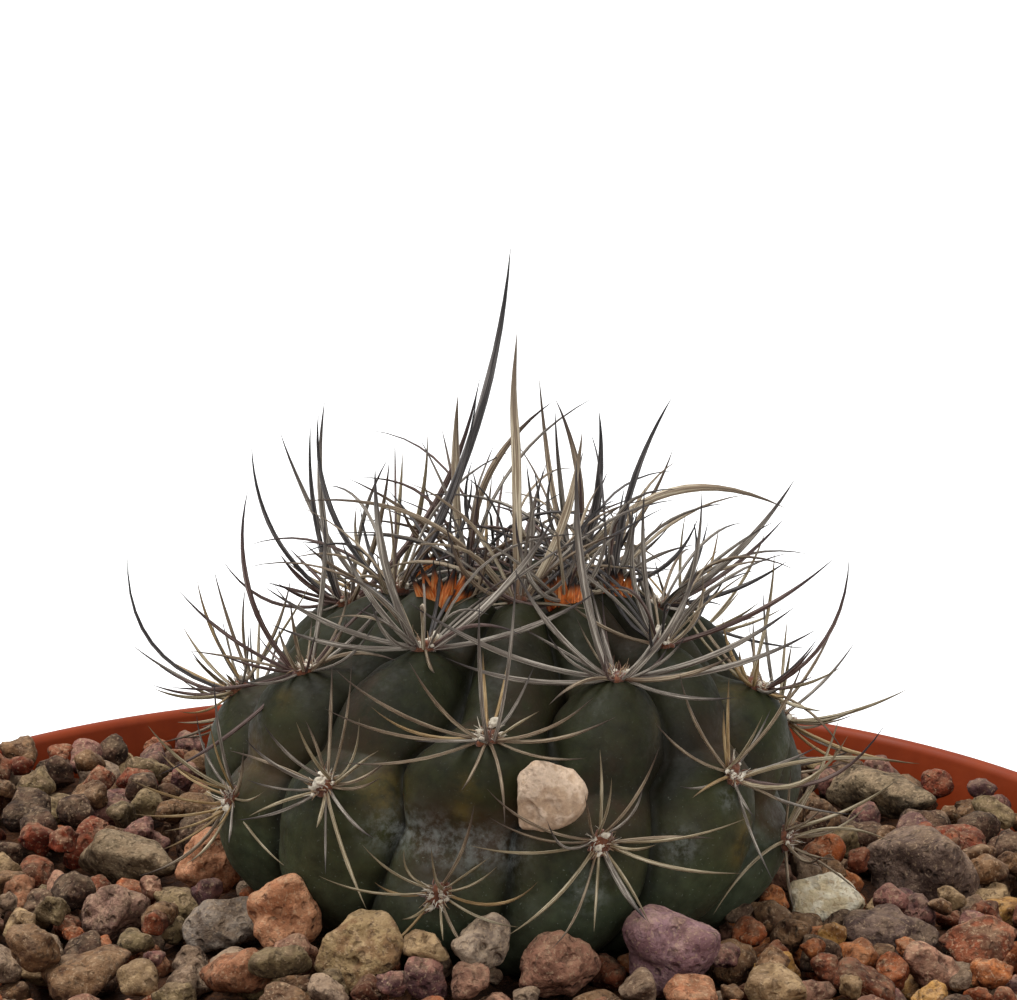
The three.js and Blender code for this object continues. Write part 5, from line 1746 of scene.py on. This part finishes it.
def make_gravel():
    bed = Bed()
    for at, half, *_ in PLACED_STONES.values():
        if at[2] < LODGED_FROM:
            bed.lay(np.array(at), np.array(half))
    stones = drop_stones(bed)
    materials = [stone_material(kind + " gravel", *tones) for kind, tones in STONE_KINDS.items()]
    middle = NEAR_STONES + SIDE_STONES
    near, side, far = stones[:NEAR_STONES], stones[NEAR_STONES:middle], stones[middle:]
    gather_stones("near_gravel", near, STONE_LEVEL, materials, SEEDS["near"])
    gather_stones("side_gravel", side, STONE_LEVEL, materials, SEEDS["side"])
    gather_stones("far_gravel", far, FAR_LEVEL, materials, SEEDS["far"])
    make_bed_floor(bed)


# Floor, light and camera

def make_floor():
    material, tree, shader = start_material(
        "pale floor", {"Roughness": 0.6, "Emission Color": (1.0, 1.0, 1.0, 1.0),
                       "Emission Strength": 0.5})
    tone = mix_colours(tree, mottle_value(tree, 8.0, 5.0), FLOOR_TONES[0], FLOOR_TONES[1])
    feed(tree, shader.inputs["Base Color"], tone)
    mesh = bpy.data.meshes.new("floor")
    corners = [(-1, -1), (1, -1), (1, 1), (-1, 1)]
    mesh.from_pydata([(x * FLOOR_REACH, y * FLOOR_REACH, 0) for x, y in corners], [],
                     [(0, 1, 2, 3)])
    mesh.materials.append(material)
    floor = bpy.data.objects.new("floor", mesh)
    bpy.context.scene.collection.objects.link(floor)


def add_soft_light(name, place, size, power):
    """Square lamp that shines on the top of the pot."""
    light = bpy.data.lights.new(name, "AREA")
    light.shape = "SQUARE"
    light.size = size
    light.energy = power
    lamp = bpy.data.objects.new(name, light)
    lamp.location = place
    aim = Vector((0, 0, POT_HEIGHT * MM)) - lamp.location
    lamp.rotation_euler = aim.to_track_quat("-Z", "Y").to_euler()
    bpy.context.scene.collection.objects.link(lamp)


def light_scene():
    world = bpy.data.worlds.new("white studio")
    world.use_nodes = True
    background = world.node_tree.nodes["Background"]
    background.inputs["Color"].default_value = (1.0, 1.0, 1.0, 1.0)
    background.inputs["Strength"].default_value = SKY_STRENGTH
    bpy.context.scene.world = world
    for name, values in LAMPS.items():
        add_soft_light(name, *values)
    bpy.context.scene.view_settings.view_transform = "Standard"


def place_camera():
    elevation, yaw, pitch, roll = (math.radians(a) for a in (
        CAMERA_ELEVATION, CAMERA_YAW, CAMERA_PITCH, CAMERA_ROLL))
    forward = Vector((math.sin(yaw) * math.cos(pitch), math.cos(yaw) * math.cos(pitch),
                      -math.sin(pitch)))
    level = Vector((math.cos(yaw), -math.sin(yaw), 0))
    above = level.cross(forward)
    right = math.cos(roll) * level + math.sin(roll) * above
    up = math.cos(roll) * above - math.sin(roll) * level
    data = bpy.data.cameras.new("camera")
    data.sensor_width = SENSOR_WIDTH
    data.lens = FOCAL_PIXELS / IMAGE_WIDTH * SENSOR_WIDTH
    data.clip_start = CLIP_START * MM
    camera = bpy.data.objects.new("camera", data)
    camera.matrix_world = Matrix((right, up, -forward)).transposed().to_4x4()
    camera.location = (
        0, -CAMERA_DISTANCE * math.cos(elevation) * MM,
        (POT_HEIGHT + CAMERA_DISTANCE * math.sin(elevation)) * MM)
    bpy.context.scene.collection.objects.link(camera)
    bpy.context.scene.camera = camera


place_camera()
light_scene()
make_floor()
make_pot()
make_stem()
spine_materials = {kind: spine_material(kind + " spine", *tones)
                   for kind, tones in SPINE_KINDS.items() if kind != "young"}
spine_materials["young"] = spine_material("young spine", *SPINE_KINDS["young"], 0.45, 0.5)
make_spines(spine_materials)
make_young_spines(spine_materials)
make_wool({kind: wool_material(kind, *tones) for kind, tones in WOOL_KINDS.items()})
make_placed_stones()
make_gravel()
